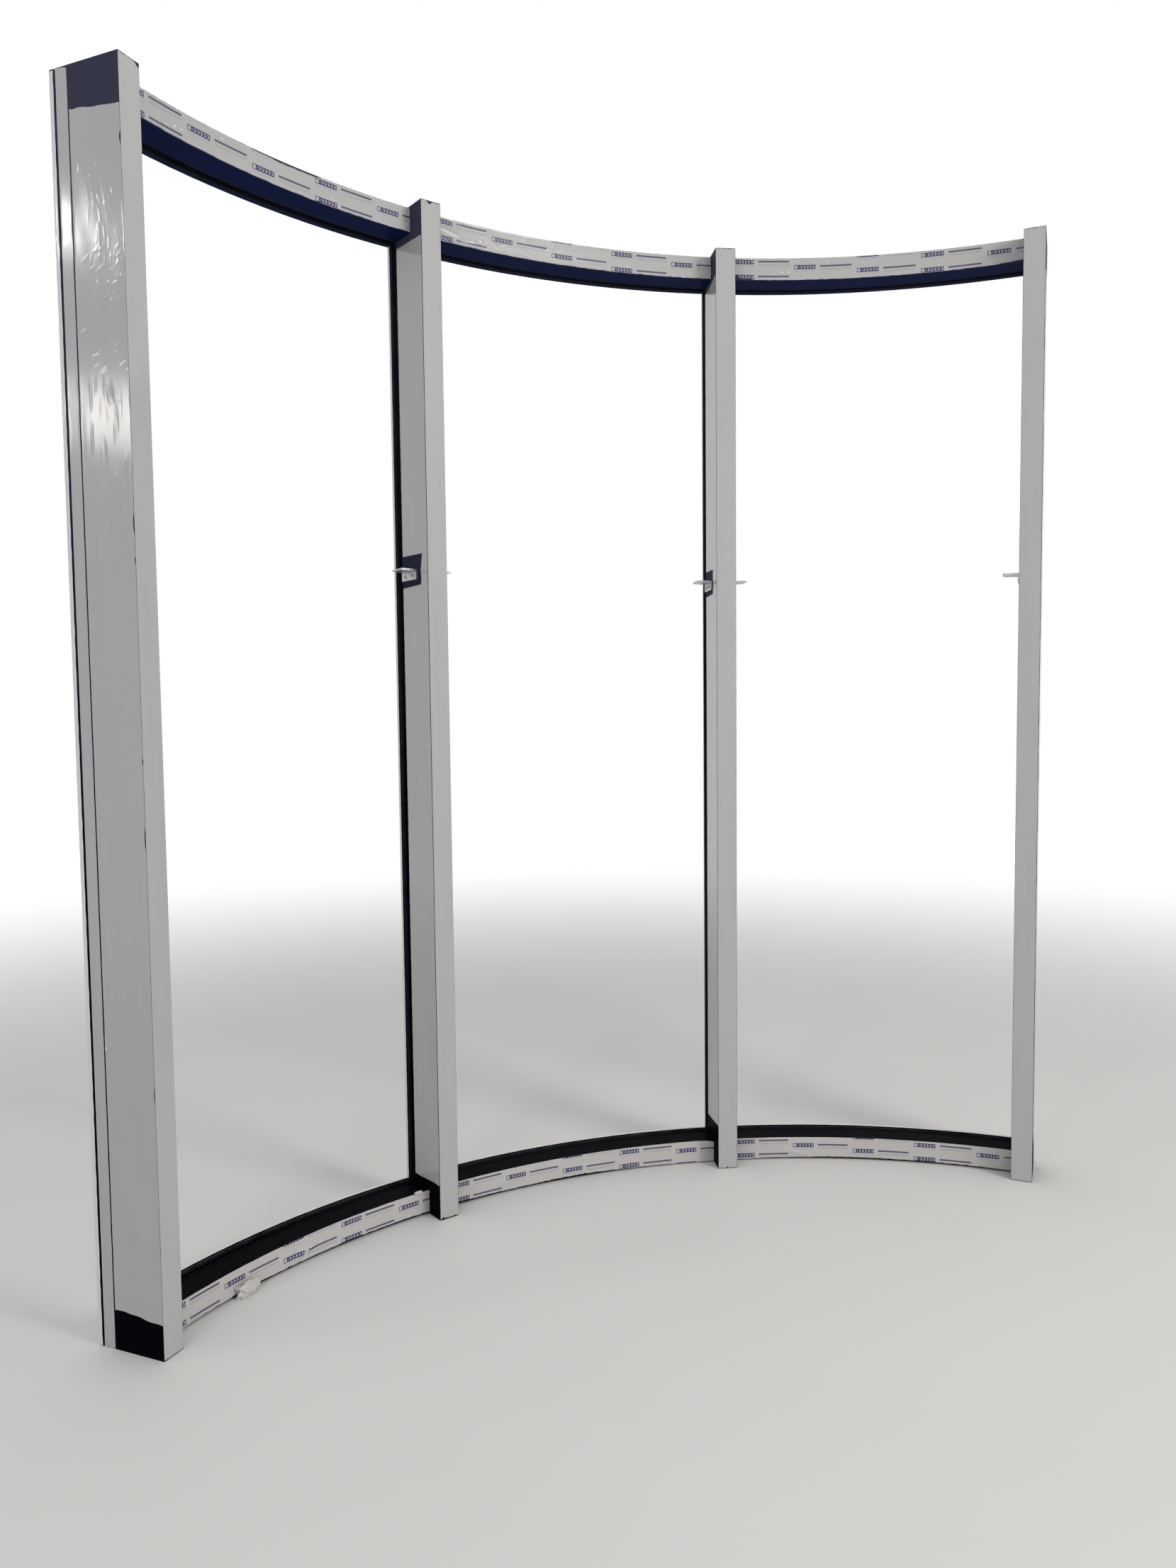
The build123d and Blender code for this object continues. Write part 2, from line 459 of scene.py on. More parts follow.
@dataclass(frozen=True)
class Crease(Relief):
    """Narrow fold, in millimetres.

    at is its middle as (length, width), reach its half length and spread its half breadth. slant is the angle
    in degrees between the fold and the film's length, and bow how far its ends bend aside.
    """

    at: Pair
    reach: float
    slant: float = 0.0
    rise: float = 0.8
    spread: float = 1.1
    bow: float = 0.0

    def height(self, length: np.ndarray, width: np.ndarray) -> np.ndarray:
        """Rise in metres: rise x exp(-(across / spread)^2) x a smooth fade towards the fold's two ends.

        Args:
            length: Places along the run.
            width: Places across the film.

        Returns:
            Array of the same shape.
        """
        turn = math.radians(self.slant)
        east, north = length / MM - self.at[0], width / MM - self.at[1]
        run = (east * math.cos(turn) + north * math.sin(turn)) / self.reach
        across = -east * math.sin(turn) + north * math.cos(turn) - self.bow * run**2
        fade = np.clip(1.0 - run**2, 0.0, 1.0)
        return self.rise * MM * np.exp(-((across / self.spread) ** 2)) * fade


@dataclass(frozen=True)
class Crumple(Relief):
    """Crushed patch with flat facets: its middle and half sizes as (length, width), in millimetres."""

    at: Pair
    reach: Pair
    rise: float = 1.2
    scale: float = 15.0
    seed: int = 1
    folds: int = 6
    scale_shares: Pair = (0.7, 1.6)
    fade_from: float = 1.4

    def height(self, length: np.ndarray, width: np.ndarray) -> np.ndarray:
        """Rise in metres: rise x mean of |2 frac(t) - 1| over seeded directions x a fade to the patch's rim.

        t is the distance along a direction over its own fold distance, so each wave folds the film on
        straight lines and is flat between them.

        Args:
            length: Lengths of the points along the run.
            width: Developed widths of the points.

        Returns:
            Rise at each point.
        """
        rng = np.random.default_rng(self.seed)
        turn = rng.uniform(0.0, math.pi, self.folds)
        fold = self.scale * rng.uniform(*self.scale_shares, self.folds)
        phase = rng.uniform(0.0, 1.0, self.folds)
        east, north = length / MM - self.at[0], width / MM - self.at[1]
        along = (east[..., None] * np.cos(turn) + north[..., None] * np.sin(turn)) / fold + phase
        waves = np.abs(2.0 * (along % 1.0) - 1.0).mean(axis=-1)
        distance = (east / self.reach[0]) ** 2 + (north / self.reach[1]) ** 2
        fade = np.clip(self.fade_from - distance, 0.0, 1.0)
        return self.rise * MM * waves * fade


@dataclass(frozen=True)
class Strewn:
    """Rule for many small creases: how many, between which places and slants, and how long and high they are.

    Every pair is a lowest and a highest value, in millimetres or degrees.
    """

    count: int
    along: Pair
    across: Pair
    slant: Pair = (-35.0, 35.0)
    reach: Pair = (6.0, 22.0)
    rise: Pair = (0.2, 0.6)
    spread: Pair = (0.8, 1.8)
    seed: int = 1
    bow: Pair = (-2.5, 2.5)

    def creases(self) -> tuple[Crease, ...]:
        """The creases, each measure drawn evenly between its pair.

        Returns:
            As many creases as count says.
        """
        rng = np.random.default_rng(self.seed)
        pairs = (self.along, self.across, self.slant, self.reach, self.rise, self.spread, self.bow)
        drawn = [rng.uniform(*pair, self.count) for pair in pairs]
        return tuple(
            Crease((along, across), reach, slant, rise, spread, bow)
            for along, across, slant, reach, rise, spread, bow in zip(*drawn)
        )


@dataclass(frozen=True)
class Film:
    """One strip of protective film on the faces of a profile.

    start and end bound it along the run, in metres. first and last are the cuts at those two ends, measured
    along the width, and near and far the cuts along its two long edges, measured along the run. The other
    measures are millimetres: standoff is the air under the film, near_lip and far_lip say how far the long
    edges have let go of the metal, lip_reach how soon that fades, and fine is the (low, high, pitch) of a
    stretch with closer rows.
    """

    name: str
    run: Run
    section: Section
    start: float
    end: float
    first: Cut = Cut()
    last: Cut = Cut()
    near: Cut = Cut()
    far: Cut = Cut()
    ripple: Ripple = Ripple()
    relief: tuple[Relief, ...] = ()
    standoff: float = 0.22
    near_lip: float = 0.25
    far_lip: float = 0.25
    lip_reach: float = 1.5
    pitch_length: float = 9.0
    pitch_width: float = 6.0
    fine: Optional[Triple] = None
    thickness: float = 0.10

    def grid(self) -> tuple[np.ndarray, np.ndarray]:
        """Length and developed width of every grid point.

        The end cuts push the rows in near the ends, fading over the end zone, and the side cuts squeeze the
        columns evenly between them.

        Returns:
            Two arrays of rows by columns.
        """
        extent, full_width = self.end - self.start, self.section.width
        zone = max(END_ZONE, END_ZONE_CUTS * self.first.deepest, END_ZONE_CUTS * self.last.deepest)
        places = [self.near.places - self.start, self.far.places - self.start, END_ROWS, extent - END_ROWS]
        if self.fine is not None:
            places.append(np.arange(*self.fine) * MM - self.start)
        rows = grid_lines(extent, self.pitch_length * MM, np.concatenate(places))
        folds = self.section.folds
        fold_lines = [folds - FOLD_BLEND, folds, folds + FOLD_BLEND]
        places = np.concatenate([self.first.places, self.last.places, *fold_lines])
        columns = grid_lines(full_width, self.pitch_width * MM, places)
        row, column = np.meshgrid(rows, columns, indexing="ij")
        length = self.start + row + self.first.back(column) * np.clip(1.0 - row / zone, 0.0, 1.0)
        length = length - self.last.back(column) * np.clip(1.0 - (extent - row) / zone, 0.0, 1.0)
        near, far = self.near.back(length), self.far.back(length)
        width = near + column / full_width * (full_width - near - far)
        return length, width

    def build(self) -> bpy.types.Object:
        """Closed shell of the film.

        Its outer side stands off the metal by standoff + ripple + relief, and a little more near its long
        edges: lip x exp(-distance / lip reach) x a slow wave along the edge.

        Returns:
            The film's object, with surface coordinates in metres along length and width.
        """
        length, width = self.grid()
        reach = self.lip_reach * MM
        near, far = width - width[:, :1], width[:, -1:] - width
        slow = LIP_SLOW_WAVE + LIP_SLOW_STEP * (self.ripple.seed % 3)
        wave = 0.5 + 0.5 * np.sin(length / slow) * np.sin(length / LIP_QUICK_WAVE + LIP_QUICK_PHASE)
        lips = self.near_lip * np.exp(-near / reach) + self.far_lip * np.exp(-far / reach)
        out = self.standoff * MM + self.ripple.height(length, width) + lips * MM * wave
        for shape in self.relief:
            out = out + shape.height(length, width)
        point, normal = self.section.sample(width)
        front = self.run.carry(point + normal * out[..., None], length)
        back = self.run.carry(point + normal * (out - self.thickness * MM)[..., None], length)
        return closed_sheet(self.name, front, back, np.stack([length - self.start, width], axis=-1))


# Shader expressions


class Value:
    """Output of a shader node that Python's operators work on: each adds a Math node to its tree."""

    def __init__(self, shader: "Shader", socket: bpy.types.NodeSocket) -> None:
        """Takes the output of a node in the shader's tree."""
        self.shader = shader
        self.socket = socket

    def math(self, operation: str, *others: Union["Value", float]) -> "Value":
        """Math node on this value and the others."""
        return self.shader.math(operation, self, *others)

    def __add__(self, other: Union["Value", float]) -> "Value":
        """Sum."""
        return self.math("ADD", other)

    def __sub__(self, other: Union["Value", float]) -> "Value":
        """Difference."""
        return self.math("SUBTRACT", other)

    def __rsub__(self, other: float) -> "Value":
        """Difference from a number."""
        return self.shader.math("SUBTRACT", other, self)

    def __mul__(self, other: Union["Value", float]) -> "Value":
        """Product."""
        return self.math("MULTIPLY", other)

    def __truediv__(self, other: Union["Value", float]) -> "Value":
        """Quotient."""
        return self.math("DIVIDE", other)

    def __pow__(self, other: float) -> "Value":
        """Power."""
        return self.math("POWER", other)

    def __lt__(self, other: Union["Value", float]) -> "Value":
        """1 where this is less."""
        return self.math("LESS_THAN", other)

    def __gt__(self, other: Union["Value", float]) -> "Value":
        """1 where this is greater."""
        return self.math("GREATER_THAN", other)

    def __mod__(self, other: float) -> "Value":
        """Remainder that is never negative."""
        return self.math("FLOORED_MODULO", other)

    def __abs__(self) -> "Value":
        """Size without its sign."""
        return self.math("ABSOLUTE")

    __radd__ = __add__
    __rmul__ = __mul__

    def clamped(self) -> "Value":
        """Value held between 0 and 1."""
        return self.math("MINIMUM", 1.0).math("MAXIMUM", 0.0)


Factor = Union[Value, float]
Tint = Union[Value, Colour]
LEVEL_COSINE = 0.7
UPRIGHT_COSINE = 0.5


class Shader:
    """Node tree of a material or of the world, emptied and then built up by expressions."""

    def __init__(self, owner: Union[bpy.types.Material, bpy.types.World]) -> None:
        """Empties the owner's node tree.

        Args:
            owner: Material or world.
        """
        self.owner = owner
        owner.use_nodes = True
        self.tree = owner.node_tree
        self.tree.nodes.clear()

    @classmethod
    def named(cls, name: str) -> "Shader":
        """Tree of a new material."""
        return cls(bpy.data.materials.new(name))

    def node(
        self, kind: str, settings: Optional[dict] = None, inputs: Optional[dict] = None
    ) -> bpy.types.Node:
        """One node of the tree.

        Args:
            kind: Type of the node without its ShaderNode prefix.
            settings: Properties of the node.
            inputs: Values or links of its sockets, by name or number.

        Returns:
            The node.
        """
        made = self.tree.nodes.new("ShaderNode" + kind)
        for key, setting in (settings or {}).items():
            setattr(made, key, setting)
        for key, given in (inputs or {}).items():
            socket = made.inputs[key]
            if isinstance(given, Value):
                self.tree.links.new(given.socket, socket)
            else:
                opaque = isinstance(given, tuple) and len(given) < len(socket.default_value)
                socket.default_value = (*given, 1.0) if opaque else given
        return made

    def out(self, made: bpy.types.Node, socket: Union[int, str] = 0) -> Value:
        """Output of a node as a value."""
        return Value(self, made.outputs[socket])

    def math(self, operation: str, *values: Factor) -> Value:
        """Math node on values and numbers."""
        return self.out(self.node("Math", {"operation": operation}, dict(enumerate(values))))

    def place(self) -> Value:
        """Object coordinates, which are metres in the frame's own space."""
        return self.out(self.node("TexCoord"), "Object")

    def surface(self) -> Value:
        """Surface coordinates of a film: metres along its length and width."""
        return self.out(self.node("UVMap", {"uv_map": "surface"}))

    def split(self, vector: Value) -> tuple[Value, Value, Value]:
        """The three parts of a vector."""
        made = self.node("SeparateXYZ", inputs={0: vector})
        return self.out(made, 0), self.out(made, 1), self.out(made, 2)

    def scaled(self, vector: Value, by: Triple) -> Value:
        """Vector times three numbers."""
        return self.out(self.node("VectorMath", {"operation": "MULTIPLY"}, {0: vector, 1: by}))

    def noise(self, vector: Value, scale: float, detail: float = 2.0, roughness: float = 0.5) -> Value:
        """Noise between 0 and 1, scale in waves to the metre."""
        inputs = {"Vector": vector, "Scale": scale, "Detail": detail, "Roughness": roughness}
        return self.out(self.node("TexNoise", inputs=inputs))

    def cells(self, vector: Value, scale: float) -> Value:
        """Distance to the nearest point of a Voronoi texture, scale in cells to the metre."""
        return self.out(self.node("TexVoronoi", inputs={"Vector": vector, "Scale": scale}), "Distance")

    def cell_number(self, vector: Value, scale: float) -> Value:
        """Random number between 0 and 1 of each cell of that Voronoi texture."""
        colour = self.out(self.node("TexVoronoi", inputs={"Vector": vector, "Scale": scale}), "Color")
        return self.out(self.node("SeparateColor", inputs={0: colour}), 0)

    def step(self, value: Value, low: float, high: float) -> Value:
        """Smooth step that is 0 at low and 1 at high."""
        inputs = {"Value": value, "From Min": low, "From Max": high}
        return self.out(self.node("MapRange", {"interpolation_type": "SMOOTHSTEP"}, inputs))

    def mix(self, factor: Factor, first: Tint, second: Tint) -> Value:
        """Colour between two colours."""
        made = self.node("Mix", {"data_type": "RGBA"}, {0: factor, 6: first, 7: second})
        return self.out(made, 2)

    def bump(
        self, height: Value, distance: float, strength: float = 1.0, normal: Optional[Value] = None
    ) -> Value:
        """Bumped normal from a height between 0 and 1, distance in metres.

        Args:
            height: Height between 0 and 1.
            distance: Height in metres at 1.
            strength: Share of the bump that shows.
            normal: Normal that is bumped, where another bump comes first.

        Returns:
            The bumped normal.
        """
        inputs = {"Height": height, "Distance": distance, "Strength": strength}
        if normal is not None:
            inputs["Normal"] = normal
        return self.out(self.node("Bump", inputs=inputs))

    def seen_straight(self) -> Value:
        """1 for what the camera sees, by itself, in gloss or through glass.

        Returns:
            0 or 1.
        """
        rays = self.node("LightPath")
        gloss = self.out(rays, "Is Glossy Ray").math("MAXIMUM", self.out(rays, "Is Transmission Ray"))
        return gloss.math("MAXIMUM", self.out(rays, "Is Camera Ray"))

    def slope(self) -> Value:
        """Upward part of the normal: 1 on faces that look up, 0 on upright ones, -1 on the undersides."""
        return self.split(self.out(self.node("NewGeometry"), "Normal"))[2]

    def facing_up(self) -> Value:
        """1 on faces that look up."""
        return self.slope() > LEVEL_COSINE

    def finish(self, **inputs: Any) -> bpy.types.Material:
        """Principled surface with these inputs, an underscore standing for a space in a socket's name.

        Args:
            **inputs: Values, links or colours of the surface's sockets.

        Returns:
            The finished material.
        """
        named = {key.replace("_", " "): given for key, given in inputs.items()}
        surface = self.node("BsdfPrincipled", inputs=named)
        self.node("OutputMaterial", inputs={"Surface": self.out(surface)})
        return self.owner


# Finishes


WHITE = (1.0, 1.0, 1.0)


def linear(red: int, green: int, blue: int) -> Colour:
    """Colour as seen on a screen, 0 to 255, turned into the linear values of a socket.

    Args:
        red: Red level.
        green: Green level.
        blue: Blue level.

    Returns:
        Linear red, green and blue.
    """
    levels = np.array([red, green, blue]) / 255.0
    curved = np.where(levels <= 0.04045, levels / 12.92, ((levels + 0.055) / 1.055) ** 2.4)
    return tuple(float(level) for level in curved)


@dataclass(frozen=True)
class PowderCoat:
    """Blue-black satin powder coat on the profiles, with bare metal where they are sawn.

    Painted shade darkens it towards the floor, a painted sheen pales upright faces near the top, and painted
    blue light tints the undersides of the heads; it also has orange peel and settled dust. Each rise is the
    pair of heights between which a tone comes in.
    """

    top: float
    coat: Colour = linear(17, 21, 42)
    shaded: Colour = linear(8, 9, 14)
    painted_sheen: Colour = linear(82, 82, 102)
    painted_soffit_light: Colour = linear(17, 31, 76)
    dust: Colour = linear(150, 150, 152)
    bare: Colour = linear(168, 166, 160)
    coat_rise: Pair = (0.1, 2.0)
    painted_sheen_rise: Pair = (1.0, 2.7)
    painted_soffit_light_rise: Pair = (2.4, 2.7)
    speck_cells: float = 260.0
    speck_size: float = 0.11
    saw_skin: float = 0.15 * MM

    def material(self) -> bpy.types.Material:
        """Coat, dust on faces that look up, and sawn ends at the frame's top and foot.

        Returns:
            The material.
        """
        shader = Shader.named("powder_coat")
        place = shader.place()
        height = shader.split(place)[2]
        sawn = ((height > self.top - self.saw_skin) + (height < self.saw_skin)).clamped()
        clouds = shader.step(shader.noise(place, 2.3, 3.0, 0.6), 0.35, 0.75)
        # painted shade: the coat darkens to the shaded colour towards the floor
        coat = shader.mix(shader.step(height, *self.coat_rise), self.shaded, self.coat)
        slope = shader.slope()
        # painted sheen: upright faces near the top are mixed towards a pale blue-grey, a little patchy
        painted_sheen = (abs(slope) < UPRIGHT_COSINE) * shader.step(height, *self.painted_sheen_rise)
        coat = shader.mix(painted_sheen * (0.5 + 0.06 * clouds), coat, self.painted_sheen)
        # painted light: faces that look down near the top are tinted blue
        painted_soffit_light = (slope < -LEVEL_COSINE) * shader.step(height, *self.painted_soffit_light_rise)
        coat = shader.mix(painted_soffit_light * 0.8, coat, self.painted_soffit_light)
        specks = shader.cells(place, self.speck_cells) < self.speck_size
        sparse = shader.step(shader.noise(place, 21.0, 2.0, 0.6), 0.58, 0.66)
        dust = specks * sparse * (slope > LEVEL_COSINE)
        coat = shader.mix(dust * 0.8, coat, self.dust)
        peel = shader.noise(place, 620.0, 2.0, 0.55)
        strokes = shader.noise(shader.scaled(place, (90.0, 2200.0, 400.0)), 1.0, 2.0, 0.6)
        return shader.finish(
            Base_Color=shader.mix(sawn, coat, self.bare),
            Metallic=sawn * 0.85,
            Roughness=0.36 + 0.08 * clouds + dust * 0.4 + sawn * 0.1,
            Specular_IOR_Level=0.003,
            Normal=shader.bump(peel * (1 - sawn) + strokes * sawn, 0.05 * MM, 0.6),
        )


@dataclass(frozen=True)
class InsulatingStrip:
    """Matte black plastic with a faint lengthwise drawing grain."""

    colour: Colour = linear(18, 18, 25)
    worn: Colour = linear(32, 32, 42)

    def material(self) -> bpy.types.Material:
        """Black plastic, a little lighter along its grain.

        Returns:
            The material.
        """
        shader = Shader.named("insulating_strip")
        grain = shader.noise(shader.scaled(shader.place(), (900.0, 900.0, 30.0)), 1.0, 3.0, 0.6)
        return shader.finish(
            Base_Color=shader.mix(grain, self.colour, self.worn),
            Specular_IOR_Level=0.1,
            Roughness=0.55 + 0.2 * grain,
            Normal=shader.bump(grain, 0.03 * MM, 0.5),
        )


@dataclass(frozen=True)
class SealRubber:
    """Black rubber, greyed by dust on the edges that look up."""

    colour: Colour = linear(22, 22, 30)
    dusted: Colour = linear(84, 84, 92)

    def material(self) -> bpy.types.Material:
        """Rubber with dust on top.

        Returns:
            The material.
        """
        shader = Shader.named("seal_rubber")
        place = shader.place()
        patches = shader.step(shader.noise(place, 24.0, 4.0, 0.6), 0.3, 0.7)
        dust = patches * shader.facing_up()
        return shader.finish(
            Base_Color=shader.mix(0.12 * patches + 0.6 * dust, self.colour, self.dusted),
            Specular_IOR_Level=0.12,
            Roughness=0.62 + 0.2 * patches,
            Normal=shader.bump(shader.noise(place, 700.0, 2.0), 0.04 * MM, 0.5),
        )


@dataclass(frozen=True)
class CleatMetal:
    """Zinc on steel: pale spangles and dull spots."""

    colour: Colour = linear(178, 178, 179)
    dull: Colour = linear(122, 123, 127)

    def material(self) -> bpy.types.Material:
        """Spangled zinc.

        Returns:
            The material.
        """
        shader = Shader.named("cleat_metal")
        place = shader.place()
        spangle = shader.cell_number(place, 190.0)
        stain = shader.step(shader.noise(place, 45.0, 4.0, 0.6), 0.5, 0.75)
        return shader.finish(
            Base_Color=shader.mix(spangle * 0.16 + stain * 0.4, self.colour, self.dull),
            Metallic=0.75 - 0.3 * stain,
            Roughness=0.30 + 0.07 * spangle + 0.2 * stain,
            Normal=shader.bump(spangle, 0.01 * MM, 0.4),
        )


@dataclass(frozen=True)
class ScrewZinc:
    """Zinc-plated screw."""

    colour: Colour = linear(138, 138, 142)
    worn: Colour = linear(176, 174, 168)

    def material(self) -> bpy.types.Material:
        """Plated steel with fine handling marks.

        Returns:
            The material.
        """
        shader = Shader.named("screw_zinc")
        marks = shader.noise(shader.place(), 900.0, 3.0, 0.6)
        return shader.finish(
            Base_Color=shader.mix(marks * 0.5, self.colour, self.worn),
            Metallic=0.9,
            Roughness=0.32 + 0.2 * marks,
            Normal=shader.bump(marks, 0.02 * MM, 0.4),
        )


@dataclass(frozen=True)
class Repeat:
    """Printed repeat of generic bars, arrows and lines, in millimetres along and across the film.

    Cells follow each other along the film, each one a step lower than the last, and rows of cells lie under
    each other. A box is given by its two ends and two edges within the cell.
    """

    cell: float = 188.0
    row: float = 44.0
    drop: float = 15.0
    shift: float = 5.0
    block: Sides = (6.0, 71.0, 10.0, 23.0)
    window: Sides = (8.0, 16.0, 12.0, 21.0)
    arrows: Sides = (20.0, 69.0, 12.5, 20.5)
    arrow_pitch: float = 9.5
    arrow_width: float = 3.4
    bar: Sides = (84.0, 178.0, 12.0, 17.0)
    line_rows: tuple[float, ...] = (22.0, 25.5)
    line_width: float = 0.9
    wave_row: float = 28.5
    wave_rise: float = 1.8
    wave_pitch: float = 14.0

    def box(self, along: Value, across: Value, sides: Sides) -> Value:
        """1 inside a box given by its two ends and two edges."""
        left, right, low, high = sides
        return (along > left) * (along < right) * (across > low) * (across < high)

    def ink(self, shader: Shader, along: Value, across: Value) -> tuple[Value, Value, Value]:
        """Masks of the three inks.

        Args:
            shader: Tree that gets the nodes.
            along: Millimetres along the film.
            across: Millimetres across the film.

        Returns:
            Masks of the block with its cut-outs, of the bar, and of the thin and waved lines.
        """
        here = along % self.cell
        down = (across + self.shift - (along / self.cell).math("FLOOR") * self.drop) % self.row
        left, right, low, high = self.block
        wing = abs(down - (low + high) / 2)
        arrows = ((here + wing) % self.arrow_pitch) < self.arrow_width
        cut_out = arrows * self.box(here, down, self.arrows) + self.box(here, down, self.window)
        block = self.box(here, down, self.block) * (1 - cut_out.clamped())
        wave = (here * (2 * math.pi / self.wave_pitch)).math("SINE") * self.wave_rise + self.wave_row
        lines = (abs(down - wave) < self.line_width / 2) * (here > left) * (here < right)
        for row in self.line_rows:
            lines = lines + self.box(here, down, (self.bar[0], self.bar[1], row, row + self.line_width))
        return block, self.box(here, down, self.bar), lines.clamped()


@dataclass(frozen=True)
class NickAndGlintBand:
    """Band of sharp short creases between two places along a film, in millimetres, each also a painted glint.

    slant is their angle in degrees to the film's length, share how many of the cells hold one, cell the mean
    room of one of them along and across that direction, and core how much of the cell it fills.
    """

    low: float
    high: float
    slant: float
    share: float
    cell: Pair
    core: float = 0.24


@dataclass(frozen=True)
class ProtectiveFilm:
    """White peel-off film: smooth and glossy, streaked along its length, printed if it has a repeat, with
    painted glints.

    crinkle, grain and nick_rise are the heights in millimetres of its fine relief.
    """

    name: str
    colour: Colour = linear(186, 185, 184)
    streak: Colour = linear(172, 171, 171)
    block_ink: Colour = linear(58, 54, 100)
    bar_ink: Colour = linear(84, 82, 108)
    line_ink: Colour = linear(118, 116, 134)
    painted_glint_white: Colour = linear(250, 250, 250)
    repeat: Optional[Repeat] = None
    nicks_and_glints: tuple[NickAndGlintBand, ...] = ()
    roughness: float = 0.09
    crinkle: float = 0.05
    grain: float = 0.010
    nick_rise: float = 0.35
    nick_top: float = 0.02

    def nick_and_glint_height(self, shader: Shader, surface: Value) -> Value:
        """Height between 0 and 1 of the sharp short creases, which bump the film and mask its painted white
        glints.

        In each band the surface is turned by the slant and shrunk to cells, and a share of the cells gets a
        hump about its Voronoi point.

        Args:
            shader: Tree that gets the nodes.
            surface: Surface coordinates.

        Returns:
            Sum over the bands.
        """
        along = shader.split(surface)[0] * (1 / MM)
        total = along * 0
        for band in self.nicks_and_glints:
            angle = {"Vector": surface, "Angle": -math.radians(band.slant)}
            turned = shader.out(shader.node("VectorRotate", {"rotation_type": "Z_AXIS"}, angle))
            shrunk = shader.scaled(turned, (1 / (band.cell[0] * MM), 1 / (band.cell[1] * MM), 0.0))
            hump = shader.step(shader.cells(shrunk, 1.0), band.core, self.nick_top)
            chosen = shader.cell_number(shrunk, 1.0) < band.share
            total = total + hump * chosen * (along > band.low) * (along < band.high)
        return total

    def material(self) -> bpy.types.Material:
        """Film with streaks, fine crinkles, the print and painted white glints on the short creases.

        Returns:
            The material.
        """
        shader = Shader.named(self.name)
        surface = shader.surface()
        streaks = shader.noise(shader.scaled(surface, (1.4, 60.0, 0.0)), 1.0, 3.0, 0.55)
        clouds = shader.noise(shader.scaled(surface, (5.0, 16.0, 0.0)), 1.0, 3.0, 0.55)
        tone = (streaks * 0.5 + clouds * 0.5 - 0.25).clamped()
        colour = shader.mix(tone, self.colour, self.streak)
        if self.repeat is not None:
            along, across, _ = shader.split(shader.scaled(surface, (1 / MM, 1 / MM, 0.0)))
            block, bar, lines = self.repeat.ink(shader, along, across)
            worn = shader.step(shader.noise(surface, 420.0, 3.0, 0.7), 0.3, 0.5)
            colour = shader.mix(lines * 0.8 * worn, colour, self.line_ink)
            cover = 0.8 + 0.2 * worn
            colour = shader.mix(bar * cover, colour, self.bar_ink)
            colour = shader.mix(block * cover, colour, self.block_ink)
        nicks_and_glints = self.nick_and_glint_height(shader, surface)
        # painted highlight: the short creases are mixed towards white to stand in for glints
        colour = shader.mix((nicks_and_glints * 1.6).clamped(), colour, self.painted_glint_white)
        crinkles = shader.noise(shader.scaled(surface, (45.0, 170.0, 0.0)), 1.0, 4.0, 0.6)
        normal = shader.bump(crinkles, self.crinkle * MM, 1.0)
        normal = shader.bump(shader.noise(surface, 650.0, 1.0), self.grain * MM, 1.0, normal)
        return shader.finish(
            Base_Color=colour,
            Specular_IOR_Level=0.36,
            Roughness=self.roughness + 0.08 * clouds,
            Normal=shader.bump(nicks_and_glints, self.nick_rise * MM, 1.0, normal),
        )


# Bands of short creases that bump the film and also carry painted white glints.
FRONT_NICKS_AND_GLINTS = (NickAndGlintBand(2250.0, 2520.0, 6.0, 0.03, (34.0, 11.0)),)
OUTER_NICKS_AND_GLINTS = (
    NickAndGlintBand(0.0, 1840.0, 10.0, 0.01, (30.0, 12.0)),
    NickAndGlintBand(1840.0, 2060.0, 10.0, 0.12, (44.0, 12.0)),
    NickAndGlintBand(2000.0, 2340.0, 63.0, 0.24, (62.0, 9.0)),
    NickAndGlintBand(2200.0, 2340.0, 5.0, 0.06, (20.0, 12.0)),
    NickAndGlintBand(2300.0, 2530.0, 4.0, 0.16, (48.0, 11.0)),
    NickAndGlintBand(2480.0, 2640.0, 70.0, 0.08, (18.0, 10.0)),
)
SILL_NICKS_AND_GLINTS = (
    NickAndGlintBand(425.0, 560.0, 12.0, 0.22, (15.0, 5.0), 0.3),
    NickAndGlintBand(560.0, 840.0, 8.0, 0.03, (14.0, 5.0), 0.2),
)
HEAD_NICKS_AND_GLINTS = (
    NickAndGlintBand(0.0, 330.0, 20.0, 0.12, (20.0, 7.0)),
    NickAndGlintBand(330.0, 700.0, 50.0, 0.02, (14.0, 6.0)),
    NickAndGlintBand(700.0, 940.0, 15.0, 0.08, (16.0, 6.0)),
)


